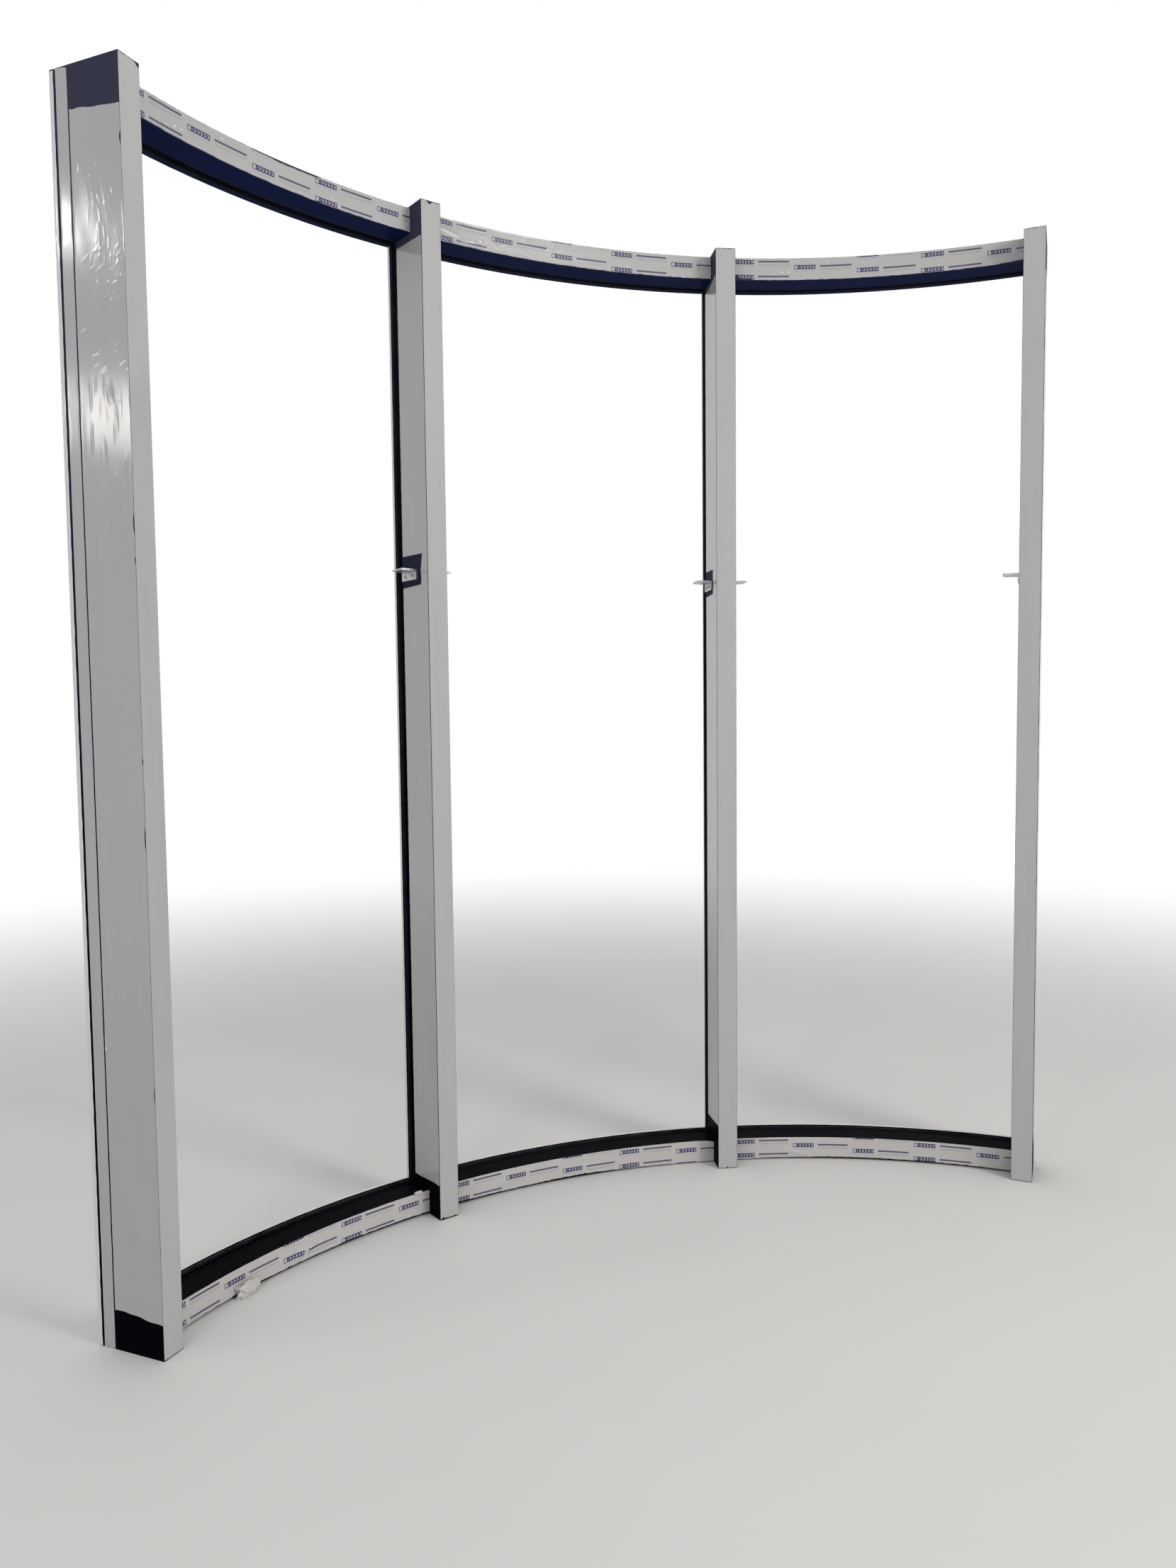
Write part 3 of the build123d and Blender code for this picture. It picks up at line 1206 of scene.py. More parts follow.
class Finishes:
    """All materials of the frame, each made once."""

    def __init__(self, plan: ArcPlan) -> None:
        """Makes the materials.

        Args:
            plan: Plan of the arc, whose height is where the posts are sawn.
        """
        self.by_slot = {
            "powder_coat": PowderCoat(plan.height).material(),
            "insulating_strip": InsulatingStrip().material(),
            "seal_rubber": SealRubber().material(),
            "cleat_metal": CleatMetal().material(),
        }
        self.screw = ScrewZinc().material()
        # painted shade: the films on the posts' sides are a darker copy of the front film
        side = {"colour": linear(181, 180, 180), "streak": linear(167, 166, 167)}
        edge = {"colour": linear(222, 221, 221), "streak": linear(205, 204, 204)}
        sill = {"colour": linear(200, 197, 196), "streak": linear(186, 183, 183), "repeat": Repeat()}
        head = {"repeat": Repeat(), "nicks_and_glints": HEAD_NICKS_AND_GLINTS, "crinkle": 0.10, "roughness": 0.2}
        loose = {"colour": linear(208, 205, 203), "streak": linear(186, 183, 182), "roughness": 0.28}
        # The plain, outer, creased and head films carry painted white glints on their bands of short creases.
        self.plain_film = ProtectiveFilm("film_plain_painted_glints", nicks_and_glints=FRONT_NICKS_AND_GLINTS).material()
        self.side_film = ProtectiveFilm("film_side_painted_shade", **side).material()
        self.outer_film = ProtectiveFilm("film_outer", nicks_and_glints=OUTER_NICKS_AND_GLINTS, **side).material()
        self.edge_film = ProtectiveFilm("film_edge", **edge).material()
        self.printed_film = ProtectiveFilm("film_printed", crinkle=0.08, **sill).material()
        self.creased_glint_film = ProtectiveFilm("film_creased_painted_glints", nicks_and_glints=SILL_NICKS_AND_GLINTS, crinkle=0.12, **sill).material()
        self.head_film = ProtectiveFilm("film_head_painted_glints", **head).material()
        self.loose_film = ProtectiveFilm("film_loose", crinkle=0.3, **loose).material()


def dress(piece: bpy.types.Object, material: bpy.types.Material) -> None:
    """Gives every material slot of a piece this material.

    Args:
        piece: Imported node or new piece.
        material: Its material.
    """
    if not piece.material_slots:
        piece.data.materials.append(material)
    for place in piece.material_slots:
        place.material = material


def dress_profile(name: str, finishes: Finishes) -> None:
    """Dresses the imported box, insulating strip and cap of a post or rail.

    Args:
        name: Name of the post or rail.
        finishes: Materials of the frame.
    """
    dress(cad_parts[f"{name}_box"], finishes.by_slot["powder_coat"])
    dress(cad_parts[f"{name}_break"], finishes.by_slot["insulating_strip"])
    dress(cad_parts[f"{name}_cap"], finishes.by_slot["powder_coat"])


def hand_in(piece: bpy.types.Object, material: bpy.types.Material) -> bpy.types.Object:
    """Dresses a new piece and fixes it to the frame.

    Args:
        piece: New piece.
        material: Its material.

    Returns:
        The same piece.
    """
    dress(piece, material)
    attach(piece, "root")
    return piece


# Sub-assemblies

EDGE_AIR = 0.5 * MM
CAP_AIR = 0.6 * MM
CLOSER_AIR = 0.4 * MM


def lowest(outline: Outline) -> float:
    """Height of an outline's lowest point."""
    return min(height for _, height in outline)


def highest(outline: Outline) -> float:
    """Height of an outline's highest point."""
    return max(height for _, height in outline)


class Side(Enum):
    """Side of a post, as seen from the room."""

    LEFT = -1
    RIGHT = 1


@dataclass(frozen=True)
class SideSheet:
    """Film on one side of a post: outlines of (depth, height) points in millimetres.

    foot and top are the cuts over the sill and under the head, and recess goes round the cleat, from its
    lower to its upper corner at the rear. slits are (low, high, depth) gaps where the film has let go of the
    front edge. The pitches and the fine stretch are those of the film's grid.
    """

    foot: Outline
    top: Outline
    recess: Outline = ()
    front: float = 4.5
    rear: float = 138.4
    slits: tuple[Triple, ...] = ()
    relief: tuple[Relief, ...] = ()
    pitch_length: float = 9.0
    pitch_width: float = 6.0
    fine: Optional[Triple] = None

    def across(self, depth: float, side: Side) -> float:
        """Place across the film at a depth: left sheets start at the rear, right ones at the front."""
        return self.rear - depth if side is Side.LEFT else depth - self.front

    def cuts(self, side: Side, seed: int) -> dict[str, Cut]:
        """The four cuts of the film.

        Args:
            side: Side of the post.
            seed: Seed of their unevenness.

        Returns:
            Cuts by the names of the film's fields.
        """
        foot = tuple((self.across(depth, side), height) for depth, height in self.foot)
        top = tuple((self.across(depth, side), height) for depth, height in self.top)
        rear_points = tuple((height, max(self.rear - depth, 0.3)) for depth, height in self.recess)
        front_points = ((0.0, 0.0),)
        for low, high, depth in self.slits:
            third = (high - low) / 3
            front_points += ((low, 0.0), (low + third, depth), (high - third, depth), (high, 0.0))
        rear = Cut(rear_points or ((0.0, 0.3),), wobble=0.8 if rear_points else 0.25, seed=seed * 3)
        front = Cut(front_points, wobble=0.2, seed=seed * 7)
        near, far = (rear, front) if side is Side.LEFT else (front, rear)
        first = Cut.above(lowest(self.foot), foot, wobble=0.8, seed=seed + 20)
        last = Cut.below(highest(self.top), top, wobble=0.8, seed=seed + 30)
        return {"first": first, "last": last, "near": near, "far": far}


@dataclass
class Post:
    """Post of the frame: packed box, insulating strip and cap, with film on the faces that show."""

    plan: ArcPlan
    number: int
    angle: float
    closed: Optional[Side]
    front_foot: Outline
    front_top: Outline
    front_inset: float
    sheets: dict[Side, SideSheet]

    @property
    def half(self) -> float:
        """Half the post's width."""
        return self.plan.post_width / 2

    @property
    def run(self) -> PostRun:
        """Upright run of the post."""
        return PostRun(self.plan, self.angle)

    def front_film(self) -> Film:
        """Film on the room-side face, from floor to top; its foot and top are (lateral, height) outlines.

        Returns:
            The film, not yet a mesh.
        """
        left, right = -self.half + self.front_inset * MM, self.half - EDGE_AIR
        low, high = lowest(self.front_foot), highest(self.front_top)
        faint = Strewn(14, (100, 2700), (4, 56), (-25, 25), rise=(0.05, 0.2), seed=self.number)
        foot = tuple((lateral - left / MM, height) for lateral, height in self.front_foot)
        top = tuple((lateral - left / MM, height) for lateral, height in self.front_top)
        return Film(
            name=f"post_{self.number}_front_film",
            run=self.run,
            section=Section(((left, 0.0), (right, 0.0))),
            start=low * MM,
            end=high * MM,
            first=Cut.above(low, foot, wobble=0.5, jag=0.8, tooth=5.0, seed=self.number + 4),
            last=Cut.below(high, top, wobble=0.4, jag=0.8, tooth=5.0, seed=self.number),
            near=Cut(((0.0, 0.0),), wobble=0.2, seed=self.number),
            far=Cut(wobble=0.3, seed=self.number + 10),
            ripple=Ripple(0.08, 420.0, 60.0, seed=self.number),
            relief=faint.creases(),
            near_lip=0.1,
            far_lip=0.1,
            pitch_width=3.0,
        )

    def side_film(self, side: Side) -> Film:
        """Film on a side of the box, cut off over the sill and under the head and cut out round the cleat.

        Args:
            side: Side of the post.

        Returns:
            The film, not yet a mesh.
        """
        sheet = self.sheets[side]
        lateral = side.value * self.half
        walk = ((lateral, sheet.front * MM), (lateral, sheet.rear * MM))
        return Film(
            name=f"post_{self.number}_{side.name.lower()}_film",
            run=self.run,
            section=Section(walk[::-1] if side is Side.LEFT else walk),
            start=lowest(sheet.foot) * MM,
            end=highest(sheet.top) * MM,
            ripple=Ripple(0.16, 260.0, 55.0, seed=self.number + side.value * 5 + 40),
            relief=sheet.relief,
            near_lip=0.35,
            far_lip=0.2,
            pitch_length=sheet.pitch_length,
            pitch_width=sheet.pitch_width,
            fine=sheet.fine,
            **sheet.cuts(side, self.number),
        )

    def closer_film(self) -> Film:
        """Narrow film on the leg that shuts the glazing pocket of a jamb.

        Returns:
            The film, not yet a mesh.
        """
        side = self.closed
        lateral = side.value * self.half
        walk = ((lateral, self.plan.box_depth + CAP_AIR), (lateral, self.plan.closer_depth - CLOSER_AIR))
        dents = Strewn(40, (2300, 2560), (3, 32), (60, 120), (2, 6), (0.02, 0.08), seed=5)
        return Film(
            name=f"post_{self.number}_closer_film",
            run=self.run,
            section=Section(walk if side is Side.RIGHT else walk[::-1]),
            start=EDGE_AIR,
            end=self.plan.height - EDGE_AIR,
            first=Cut(wobble=0.5, seed=3),
            last=Cut(((0.0, 0.5), (20.0, 2.0), (32.0, 5.0)), seed=4),
            ripple=Ripple(0.07, 300.0, 40.0, seed=self.number + 60),
            relief=dents.creases(),
            pitch_length=6.0,
            pitch_width=3.0,
        )

    def cap_film(self) -> Film:
        """Film folded round the cap: both edges and the weather-side face.

        Returns:
            The film, not yet a mesh.
        """
        front, rear = self.plan.cap_front + CAP_AIR, self.plan.frame_depth
        return Film(
            name=f"post_{self.number}_cap_film",
            run=self.run,
            section=Section(((self.half, front), (self.half, rear), (-self.half, rear), (-self.half, front))),
            start=EDGE_AIR,
            end=self.plan.height - EDGE_AIR,
            first=Cut(wobble=0.6, seed=self.number + 70),
            last=Cut(((0.0, 1.5), (30.0, 0.6), (60.0, 3.0)), wobble=0.6, seed=self.number + 80),
            near=Cut(wobble=0.5, seed=self.number + 90),
            far=Cut(wobble=0.5, seed=self.number + 95),
            ripple=Ripple(0.10, 330.0, 50.0, seed=self.number + 99),
        )

    def build(self, finishes: Finishes) -> list[bpy.types.Object]:
        """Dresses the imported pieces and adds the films.

        Args:
            finishes: Materials of the frame.

        Returns:
            The new pieces.
        """
        dress_profile(f"post_{self.number}", finishes)
        films = [(self.front_film(), finishes.plain_film), (self.cap_film(), finishes.edge_film)]
        for side in Side:
            finish = finishes.outer_film if side is self.closed else finishes.side_film
            films.append((self.side_film(side), finish))
        if self.closed:
            films.append((self.closer_film(), finishes.side_film))
        return [hand_in(film.build(), material) for film, material in films]


@dataclass
class Rail:
    """Bent rail between two posts, a sill or a head, with printed film on its room-side face and plain film
    on its cap.
    """

    plan: ArcPlan
    bay: int
    at_head: bool
    left: float
    right: float
    lower: Outline
    upper: Outline
    relief: tuple[Relief, ...] = ()
    lower_jag: float = 0.8
    upper_jag: float = 0.3

    @property
    def kind(self) -> str:
        """Name of the rail's kind."""
        return "head" if self.at_head else "sill"

    @property
    def run(self) -> RailRun:
        """Bent run that starts at the left post's centre plane."""
        return RailRun(self.plan, self.left)

    def ends(self, depth: float) -> tuple[float, float]:
        """Lengths along the run where the two posts' sides cut it at a depth, with a little air."""
        edge = self.plan.post_edge_angle(depth) * self.run.radius + CAP_AIR
        return edge, (self.right - self.left) * self.run.radius - edge

    @property
    def edges(self) -> tuple[float, float]:
        """Heights of the rail's lower and upper edge.

        Returns:
            The two heights, in metres.
        """
        inset, height = self.plan.rail_end_inset, self.plan.rail_height
        low = self.plan.height - inset - height if self.at_head else inset
        return low, low + height

    def along(self, angle: float) -> float:
        """Millimetres along the run at an angle in degrees."""
        return (math.radians(angle) - self.left) * self.run.radius / MM

    def face_film(self) -> Film:
        """Printed film on the room-side face; its lower and upper edge are (degrees, height) outlines.

        Returns:
            The film, not yet a mesh.
        """
        low, high = lowest(self.lower), highest(self.upper)
        lower = tuple((self.along(angle), height) for angle, height in self.lower)
        upper = tuple((self.along(angle), height) for angle, height in self.upper)
        start, end = self.ends(self.plan.rail_setback)
        seed = self.bay + (10 if self.at_head else 20)
        setback = self.plan.rail_setback
        spots = Strewn(26, (start / MM, end / MM), (0.0, high - low), (-60.0, 60.0), seed=seed).creases()
        return Film(
            name=f"{self.kind}_{self.bay}_face_film",
            run=self.run,
            section=Section(((setback, high * MM), (setback, low * MM))),
            start=start,
            end=end,
            first=Cut(wobble=0.8, seed=seed),
            last=Cut(wobble=0.8, seed=seed + 1),
            near=Cut.below(high, upper, wobble=0.3, jag=self.upper_jag, tooth=9.0, seed=seed + 2),
            far=Cut.above(low, lower, wobble=0.8, jag=self.lower_jag, tooth=11.0, seed=seed + 3),
            ripple=Ripple(0.14, 120.0, 40.0, seed=seed),
            relief=self.relief + spots,
            standoff=0.42,
            near_lip=0.5,
            far_lip=1.3 if self.at_head else 0.6,
            lip_reach=2.2,
            pitch_length=3.0,
            pitch_width=1.6,
        )

    def cap_film(self) -> Film:
        """Film on the cap: weather-side face, upper edge and, on a sill, lower edge.

        Returns:
            The film, not yet a mesh.
        """
        low, high = self.edges[0] + self.plan.rail_cap_inset, self.edges[1] - self.plan.rail_cap_inset
        front, rear = self.plan.cap_front + CAP_AIR, self.plan.frame_depth
        start, end = self.ends(self.plan.cap_front)
        seed = self.bay + (30 if self.at_head else 40)
        walk = ((front, low), (rear, low), (rear, high), (front, high))
        return Film(
            name=f"{self.kind}_{self.bay}_cap_film",
            run=self.run,
            section=Section(walk[1:] if self.at_head else walk),
            start=start,
            end=end,
            near=Cut(wobble=0.6, seed=seed),
            far=Cut(wobble=0.6, seed=seed + 5),
            ripple=Ripple(0.10, 150.0, 40.0, seed=seed),
            standoff=0.36,
            pitch_length=6.0,
            pitch_width=5.0,
        )

    def build(self, finishes: Finishes) -> list[bpy.types.Object]:
        """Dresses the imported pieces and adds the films.

        Args:
            finishes: Materials of the frame.

        Returns:
            The new pieces.
        """
        dress_profile(f"{self.kind}_{self.bay}", finishes)
        sill_face = finishes.creased_glint_film if self.bay == 1 else finishes.printed_film
        face = finishes.head_film if self.at_head else sill_face
        return [
            hand_in(self.face_film().build(), face),
            hand_in(self.cap_film().build(), finishes.edge_film),
        ]


@dataclass(frozen=True)
class LooseFilm:
    """Film that has come off the first sill: a crushed wad at its lower edge and a curl on its upper edge.

    wad_round is the smallest share of the wad's half sizes, wad_crush what its folds add, wad_folds how many
    folding directions there are and wad_pace how quickly the folds follow each other. wad_slim and wad_lean
    make its right end thinner and higher. The curl goes round from curl_start to curl_end. Its radius shrinks
    by curl_wind for each radian, and by up to curl_waist towards its two ends.
    """

    plan: ArcPlan
    wad_angle: float = math.radians(-35.6)
    wad_depth: float = 0.046
    wad_height: float = 0.0155
    wad_reach: tuple[float, float, float] = (0.036, 0.013, 0.017)
    wad_round: float = 0.55
    wad_crush: float = 0.9
    wad_folds: int = 7
    wad_pace: float = 0.9
    wad_slim: float = 0.35
    wad_lean: float = 0.08
    wad_grid: tuple[int, int] = (60, 96)
    wad_seed: int = 12
    curl_angle: float = math.radians(-17.45)
    curl_length: float = 0.022
    curl_radius: float = 0.0055
    curl_foot: float = 0.0705
    curl_start: float = math.radians(-30.0)
    curl_end: float = math.radians(250.0)
    curl_wind: float = 0.09
    curl_waist: float = 0.5

    def wad(self) -> bpy.types.Object:
        """Crushed ball: a sphere's directions times its three half sizes, the radius varied by folded planes.

        Radius = round + crush x mean of |2 frac(direction . axis x pace + phase) - 1| over seeded axes.

        Returns:
            The wad.
        """
        rng = np.random.default_rng(self.wad_seed)
        polar = np.linspace(0.0, math.pi, self.wad_grid[0])[:, None]
        turn = np.linspace(0.0, 2 * math.pi, self.wad_grid[1], endpoint=False)[None, :]
        parts = (np.cos(polar) + 0 * turn, np.sin(polar) * np.cos(turn), np.sin(polar) * np.sin(turn))
        direction = np.stack(parts, axis=-1)
        axes = rng.normal(0.0, 1.0, (3, self.wad_folds))
        phase = rng.uniform(0.0, 1.0, self.wad_folds)
        folds = np.abs(2.0 * ((direction @ axes * self.wad_pace + phase) % 1.0) - 1.0).mean(axis=-1)
        offset = direction * (self.wad_round + self.wad_crush * folds)[..., None] * np.array(self.wad_reach)
        slim = 1.0 - self.wad_slim * direction[..., :1]
        offset = offset * np.concatenate([np.ones_like(slim), slim, slim], axis=-1)
        offset[..., 2] += self.wad_lean * offset[..., 0]
        angle = self.wad_angle + offset[..., 0] / (self.plan.front_radius + self.wad_depth)
        height = np.maximum(self.wad_height + offset[..., 2], 0.6 * MM)
        shell = self.plan.on_arc(angle, self.wad_depth + offset[..., 1], height)
        points, faces = closed_turn(shell[1:-1], shell[[0, -1], 0])
        return add_mesh("sill_1_loose_wad", points, faces, uv=points[:, [0, 2]])

    def curl(self) -> bpy.types.Object:
        """Curled flap: (depth, height) = centre + radius x (cos t, sin t), the radius shrinking with t.

        Returns:
            The curl.
        """
        turn = np.linspace(self.curl_start, self.curl_end, 30)[:, None]
        run = np.linspace(-0.5, 0.5, 9)[None, :]
        radius = self.curl_radius * (1.0 - self.curl_wind * turn) * (1.0 - self.curl_waist * run**2)
        angle = self.curl_angle + run * self.curl_length / (self.plan.front_radius + self.plan.rail_setback)
        centre = self.plan.rail_setback - 0.9 * self.curl_radius

        def sheet(inset: float) -> np.ndarray:
            """Points of the roll with its radius made smaller.

            Args:
                inset: What the radius loses.

            Returns:
                Grid of points, turn by length.
            """
            reach = radius - inset
            height = self.curl_foot + self.curl_radius * 0.5 + reach * np.sin(turn)
            return self.plan.on_arc(angle + 0 * turn, centre + reach * np.cos(turn), height)

        uv = np.stack(np.broadcast_arrays(run * self.curl_length, turn * self.curl_radius), axis=-1)
        return closed_sheet("sill_1_loose_curl", sheet(0.0), sheet(0.15 * MM), uv)

    def build(self, finishes: Finishes) -> list[bpy.types.Object]:
        """Both loose bits, in the loose film's finish."""
        return [hand_in(piece, finishes.loose_film) for piece in (self.wad(), self.curl())]


@dataclass
class Bay:
    """Opening between two posts: rubber seals and the two cleats, each with its screws.

    head_profile is half the outline of a screw's head, as (radius, height) in millimetres.
    """

    plan: ArcPlan
    number: int
    left: float
    right: float
    screw_rows: tuple[float, ...] = (0.022, 0.060)
    screw_drop: float = 0.017
    screw_turns: int = 28
    head_profile: Outline = (
        (0.0, 1.1),
        (1.3, 1.1),
        (1.6, 2.3),
        (3.0, 2.1),
        (4.2, 1.3),
        (4.6, 0.4),
        (4.6, -0.2),
        (0.0, -0.2),
    )

    def screws(self, name: str, angle: float, side: int) -> bpy.types.Object:
        """Pan-head screws through a cleat's leg: the head's profile turned about its axis.

        Point = centre + radius x (cos t x depth direction + sin t x up) + height x outward, on a grid of
        profile by turn, with the two ends of the profile closed on the axis.

        Args:
            name: Name of the piece.
            angle: Angle of the post that carries the cleat.
            side: Side of the post, -1 or 1.

        Returns:
            One object with both screws.
        """
        turns = np.linspace(0.0, 2 * math.pi, self.screw_turns, endpoint=False)
        profile = np.array(self.head_profile) * MM
        radius, rise = profile[:, 0][:, None], profile[:, 1][:, None]
        face = self.plan.post_width / 2 + self.plan.cleat_thickness
        height = self.plan.cleat_top - self.screw_drop + radius * np.sin(turns)
        points, faces = [], []
        for row in self.screw_rows:
            depth = self.plan.cleat_front + row + radius * np.cos(turns)
            body = self.plan.on_post(angle, side * (face + rise + 0 * turns), depth, height)
            screw_points, screw_faces = closed_turn(body[1:-1], body[[0, -1], 0])
            faces += [block + sum(len(block) for block in points) for block in screw_faces]
            points.append(screw_points)
        return add_mesh(name, np.concatenate(points), faces)

    def build(self, finishes: Finishes) -> list[bpy.types.Object]:
        """Dresses seals and cleats and adds the screws.

        Args:
            finishes: Materials of the frame.

        Returns:
            The new pieces.
        """
        for ring in ("inner_seal", "outer_seal"):
            dress(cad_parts[f"bay_{self.number}_{ring}"], finishes.by_slot["seal_rubber"])
        made = []
        for label, angle, side in (("left", self.left, 1), ("right", self.right, -1)):
            name = f"cleat_{self.number}_{label}"
            dress(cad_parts[name], finishes.by_slot["cleat_metal"])
            made.append(hand_in(self.screws(f"{name}_screws", angle, side), finishes.screw))
        return made


# Studio and camera


def placed(name: str, data: bpy.types.ID, axes: Sequence[np.ndarray], place: Triple) -> bpy.types.Object:
    """New lamp or camera of the scene, turned and put in its place.

    Args:
        name: Name of the object.
        data: Its lamp or camera.
        axes: Its x, y and z axes as unit vectors.
        place: Its place.

    Returns:
        The object.
    """
    thing = bpy.data.objects.new(name, data)
    bpy.context.scene.collection.objects.link(thing)
    matrix = np.eye(4)
    matrix[:3, :4] = np.stack([*axes, place], axis=1)
    thing.matrix_world = Matrix(matrix.tolist())
    return thing


@dataclass(frozen=True)
class Lamp:
    """Square soft lamp aimed at a point."""

    name: str
    place: Triple
    aim: Triple
    size: float
    power: float
    tint: Colour

    def build(self) -> None:
        """Area light with its -Z axis towards the aim."""
        light = bpy.data.lights.new(self.name, "AREA")
        light.shape = "SQUARE"
        light.size = self.size
        light.energy = self.power
        light.color = self.tint
        away = np.array(self.place) - np.array(self.aim)
        away = away / np.linalg.norm(away)
        right = np.cross((0.0, 0.0, 1.0), away)
        right = right / np.linalg.norm(right)
        lamp = placed(self.name, light, (right, np.cross(away, right), away), self.place)


@dataclass(frozen=True)
class Studio:
    """Pale floor, white surroundings and soft lamps."""

    floor_reach: float = 30.0
    floor_colour: Colour = linear(226, 225, 223)
    floor_mottle: Colour = linear(212, 210, 207)
    fade_from: float = 2.3
    fade_to: float = 7.5
    ambient: float = 0.56
    lamps: tuple[Lamp, ...] = (
        Lamp("key_lamp", (2.6, -4.6, 3.7), (0.0, 0.0, 1.3), 1.6, 122.0, (1.0, 0.985, 0.96)),
        Lamp("fill_lamp", (-3.6, -3.4, 2.6), (0.0, 0.0, 1.2), 0.7, 20.0, (0.95, 0.97, 1.0)),
        Lamp("upper_window", (-4.558, -0.129, 3.707), (-1.363, -0.224, 2.484), 0.17, 4.2, (1.0, 0.98, 0.96)),
        Lamp("lower_window", (-4.574, -0.337, 2.857), (-1.268, -0.32, 2.064), 0.27, 4.4, (1.0, 0.97, 0.93)),
    )

    def floor(self) -> None:
        """Floor that fades into the white surroundings away from the object."""
        corners = np.array([(-1.0, -1.0, 0.0), (1.0, -1.0, 0.0), (1.0, 1.0, 0.0), (-1.0, 1.0, 0.0)])
        floor = add_mesh("studio_floor", corners * self.floor_reach, [np.array([[0, 1, 2, 3]])])
        shader = Shader.named("studio_floor")
        place = shader.place()
        across, back, _ = shader.split(place)
        far = shader.step((across * across + back * back) ** 0.5, self.fade_from, self.fade_to)
        mottle = shader.noise(place, 1.7, 4.0, 0.55) * 0.25
        colour = shader.mix(mottle, self.floor_colour, self.floor_mottle)
        plain = shader.out(shader.node("BsdfPrincipled", inputs={"Base Color": colour, "Roughness": 0.7}))
        white = shader.out(shader.node("Emission", inputs={"Color": WHITE, "Strength": 1.0}))
        blend = shader.node("MixShader", inputs={0: far * shader.seen_straight(), 1: plain, 2: white})
        shader.node("OutputMaterial", inputs={"Surface": shader.out(blend)})
        dress(floor, shader.owner)

    def surroundings(self) -> None:
        """White to the eye, in gloss and through glass, and a softer ambient light on the object."""
        world = bpy.data.worlds.new("studio_world")
        bpy.context.scene.world = world
        shader = Shader(world)
        level = self.ambient + (1.0 - self.ambient) * shader.seen_straight()
        sky = shader.node("Background", inputs={"Color": WHITE, "Strength": level})
        shader.node("OutputWorld", inputs={"Surface": shader.out(sky)})

    def build(self) -> None:
        """Floor, surroundings and lamps."""
        self.floor()
        self.surroundings()
        for lamp in self.lamps:
            lamp.build()


@dataclass(frozen=True)
class PhotoCamera:
    """Camera at the photograph's place. Angles are radians; focal length and centre are image pixels."""

    place: Triple = (-1.2907, -2.9914, 1.4239)
    yaw: float = 0.38194
    pitch: float = -0.06561
    roll: float = -0.01124
    focal: float = 1626.05
    centre_right: float = -16.2
    centre_down: float = 8.0
    image_height: float = 2212.0
    sensor: float = 36.0

    def build(self) -> None:
        """Camera whose axes follow yaw, pitch and roll, with the picture's centre moved by the lens shift."""
        straight = np.array([math.sin(self.yaw), math.cos(self.yaw), 0.0])
        ahead = math.cos(self.pitch) * straight + math.sin(self.pitch) * np.array([0.0, 0.0, 1.0])
        level = np.array([math.cos(self.yaw), -math.sin(self.yaw), 0.0])
        upright = np.cross(level, ahead)
        right = math.cos(self.roll) * level + math.sin(self.roll) * upright
        up = -math.sin(self.roll) * level + math.cos(self.roll) * upright
        data = bpy.data.cameras.new("photo_camera")
        data.sensor_width = self.sensor
        data.lens = self.sensor * self.focal / self.image_height
        data.shift_x = -self.centre_right / self.image_height
        data.shift_y = self.centre_down / self.image_height
        camera = placed("photo_camera", data, (right, up, -ahead), self.place)
        bpy.context.scene.camera = camera


# Whole frame


def post_1_relief() -> tuple[Relief, ...]:
    """Creases of the first post's outer film, each rule for one stretch of it.

    Returns:
        The creases.
    """
    strewn = (
        Strewn(40, (2380, 2600), (40, 112), (-9, 9), (6, 24), (0.08, 0.25), (0.9, 1.8), seed=31),
        Strewn(30, (2160, 2420), (16, 128), (58, 68), (8, 16), (0.1, 0.25), (1.2, 2), seed=32),
        Strewn(18, (2300, 2440), (112, 132), (-60, 60), (2, 5), (0.15, 0.35), (1.2, 2), seed=33),
        Strewn(22, (1930, 2130), (30, 128), (-6, 6), (14, 40), (0.12, 0.4), (1.6, 2.8), seed=34),
        Strewn(18, (2560, 2690), (20, 110), (-70, 70), (2, 6), (0.2, 0.5), (0.7, 1.3), seed=35),
        Strewn(40, (120, 1900), (8, 130), (-12, 12), (14, 60), (0.05, 0.22), (1.2, 3), seed=36),
    )
    return tuple(crease for rule in strewn for crease in rule.creases())


def side_relief(seed: int) -> tuple[Relief, ...]:
    """Faint creases of a film between posts, most of them upright.

    Args:
        seed: Seed of their places.

    Returns:
        The creases.
    """
    upright = Strewn(30, (120, 2690), (6, 130), (-14, 14), (12, 50), (0.08, 0.3), (1.2, 3), seed)
    slanted = Strewn(18, (120, 2690), (4, 132), (-70, 70), seed=seed + 1)
    return upright.creases() + slanted.creases()


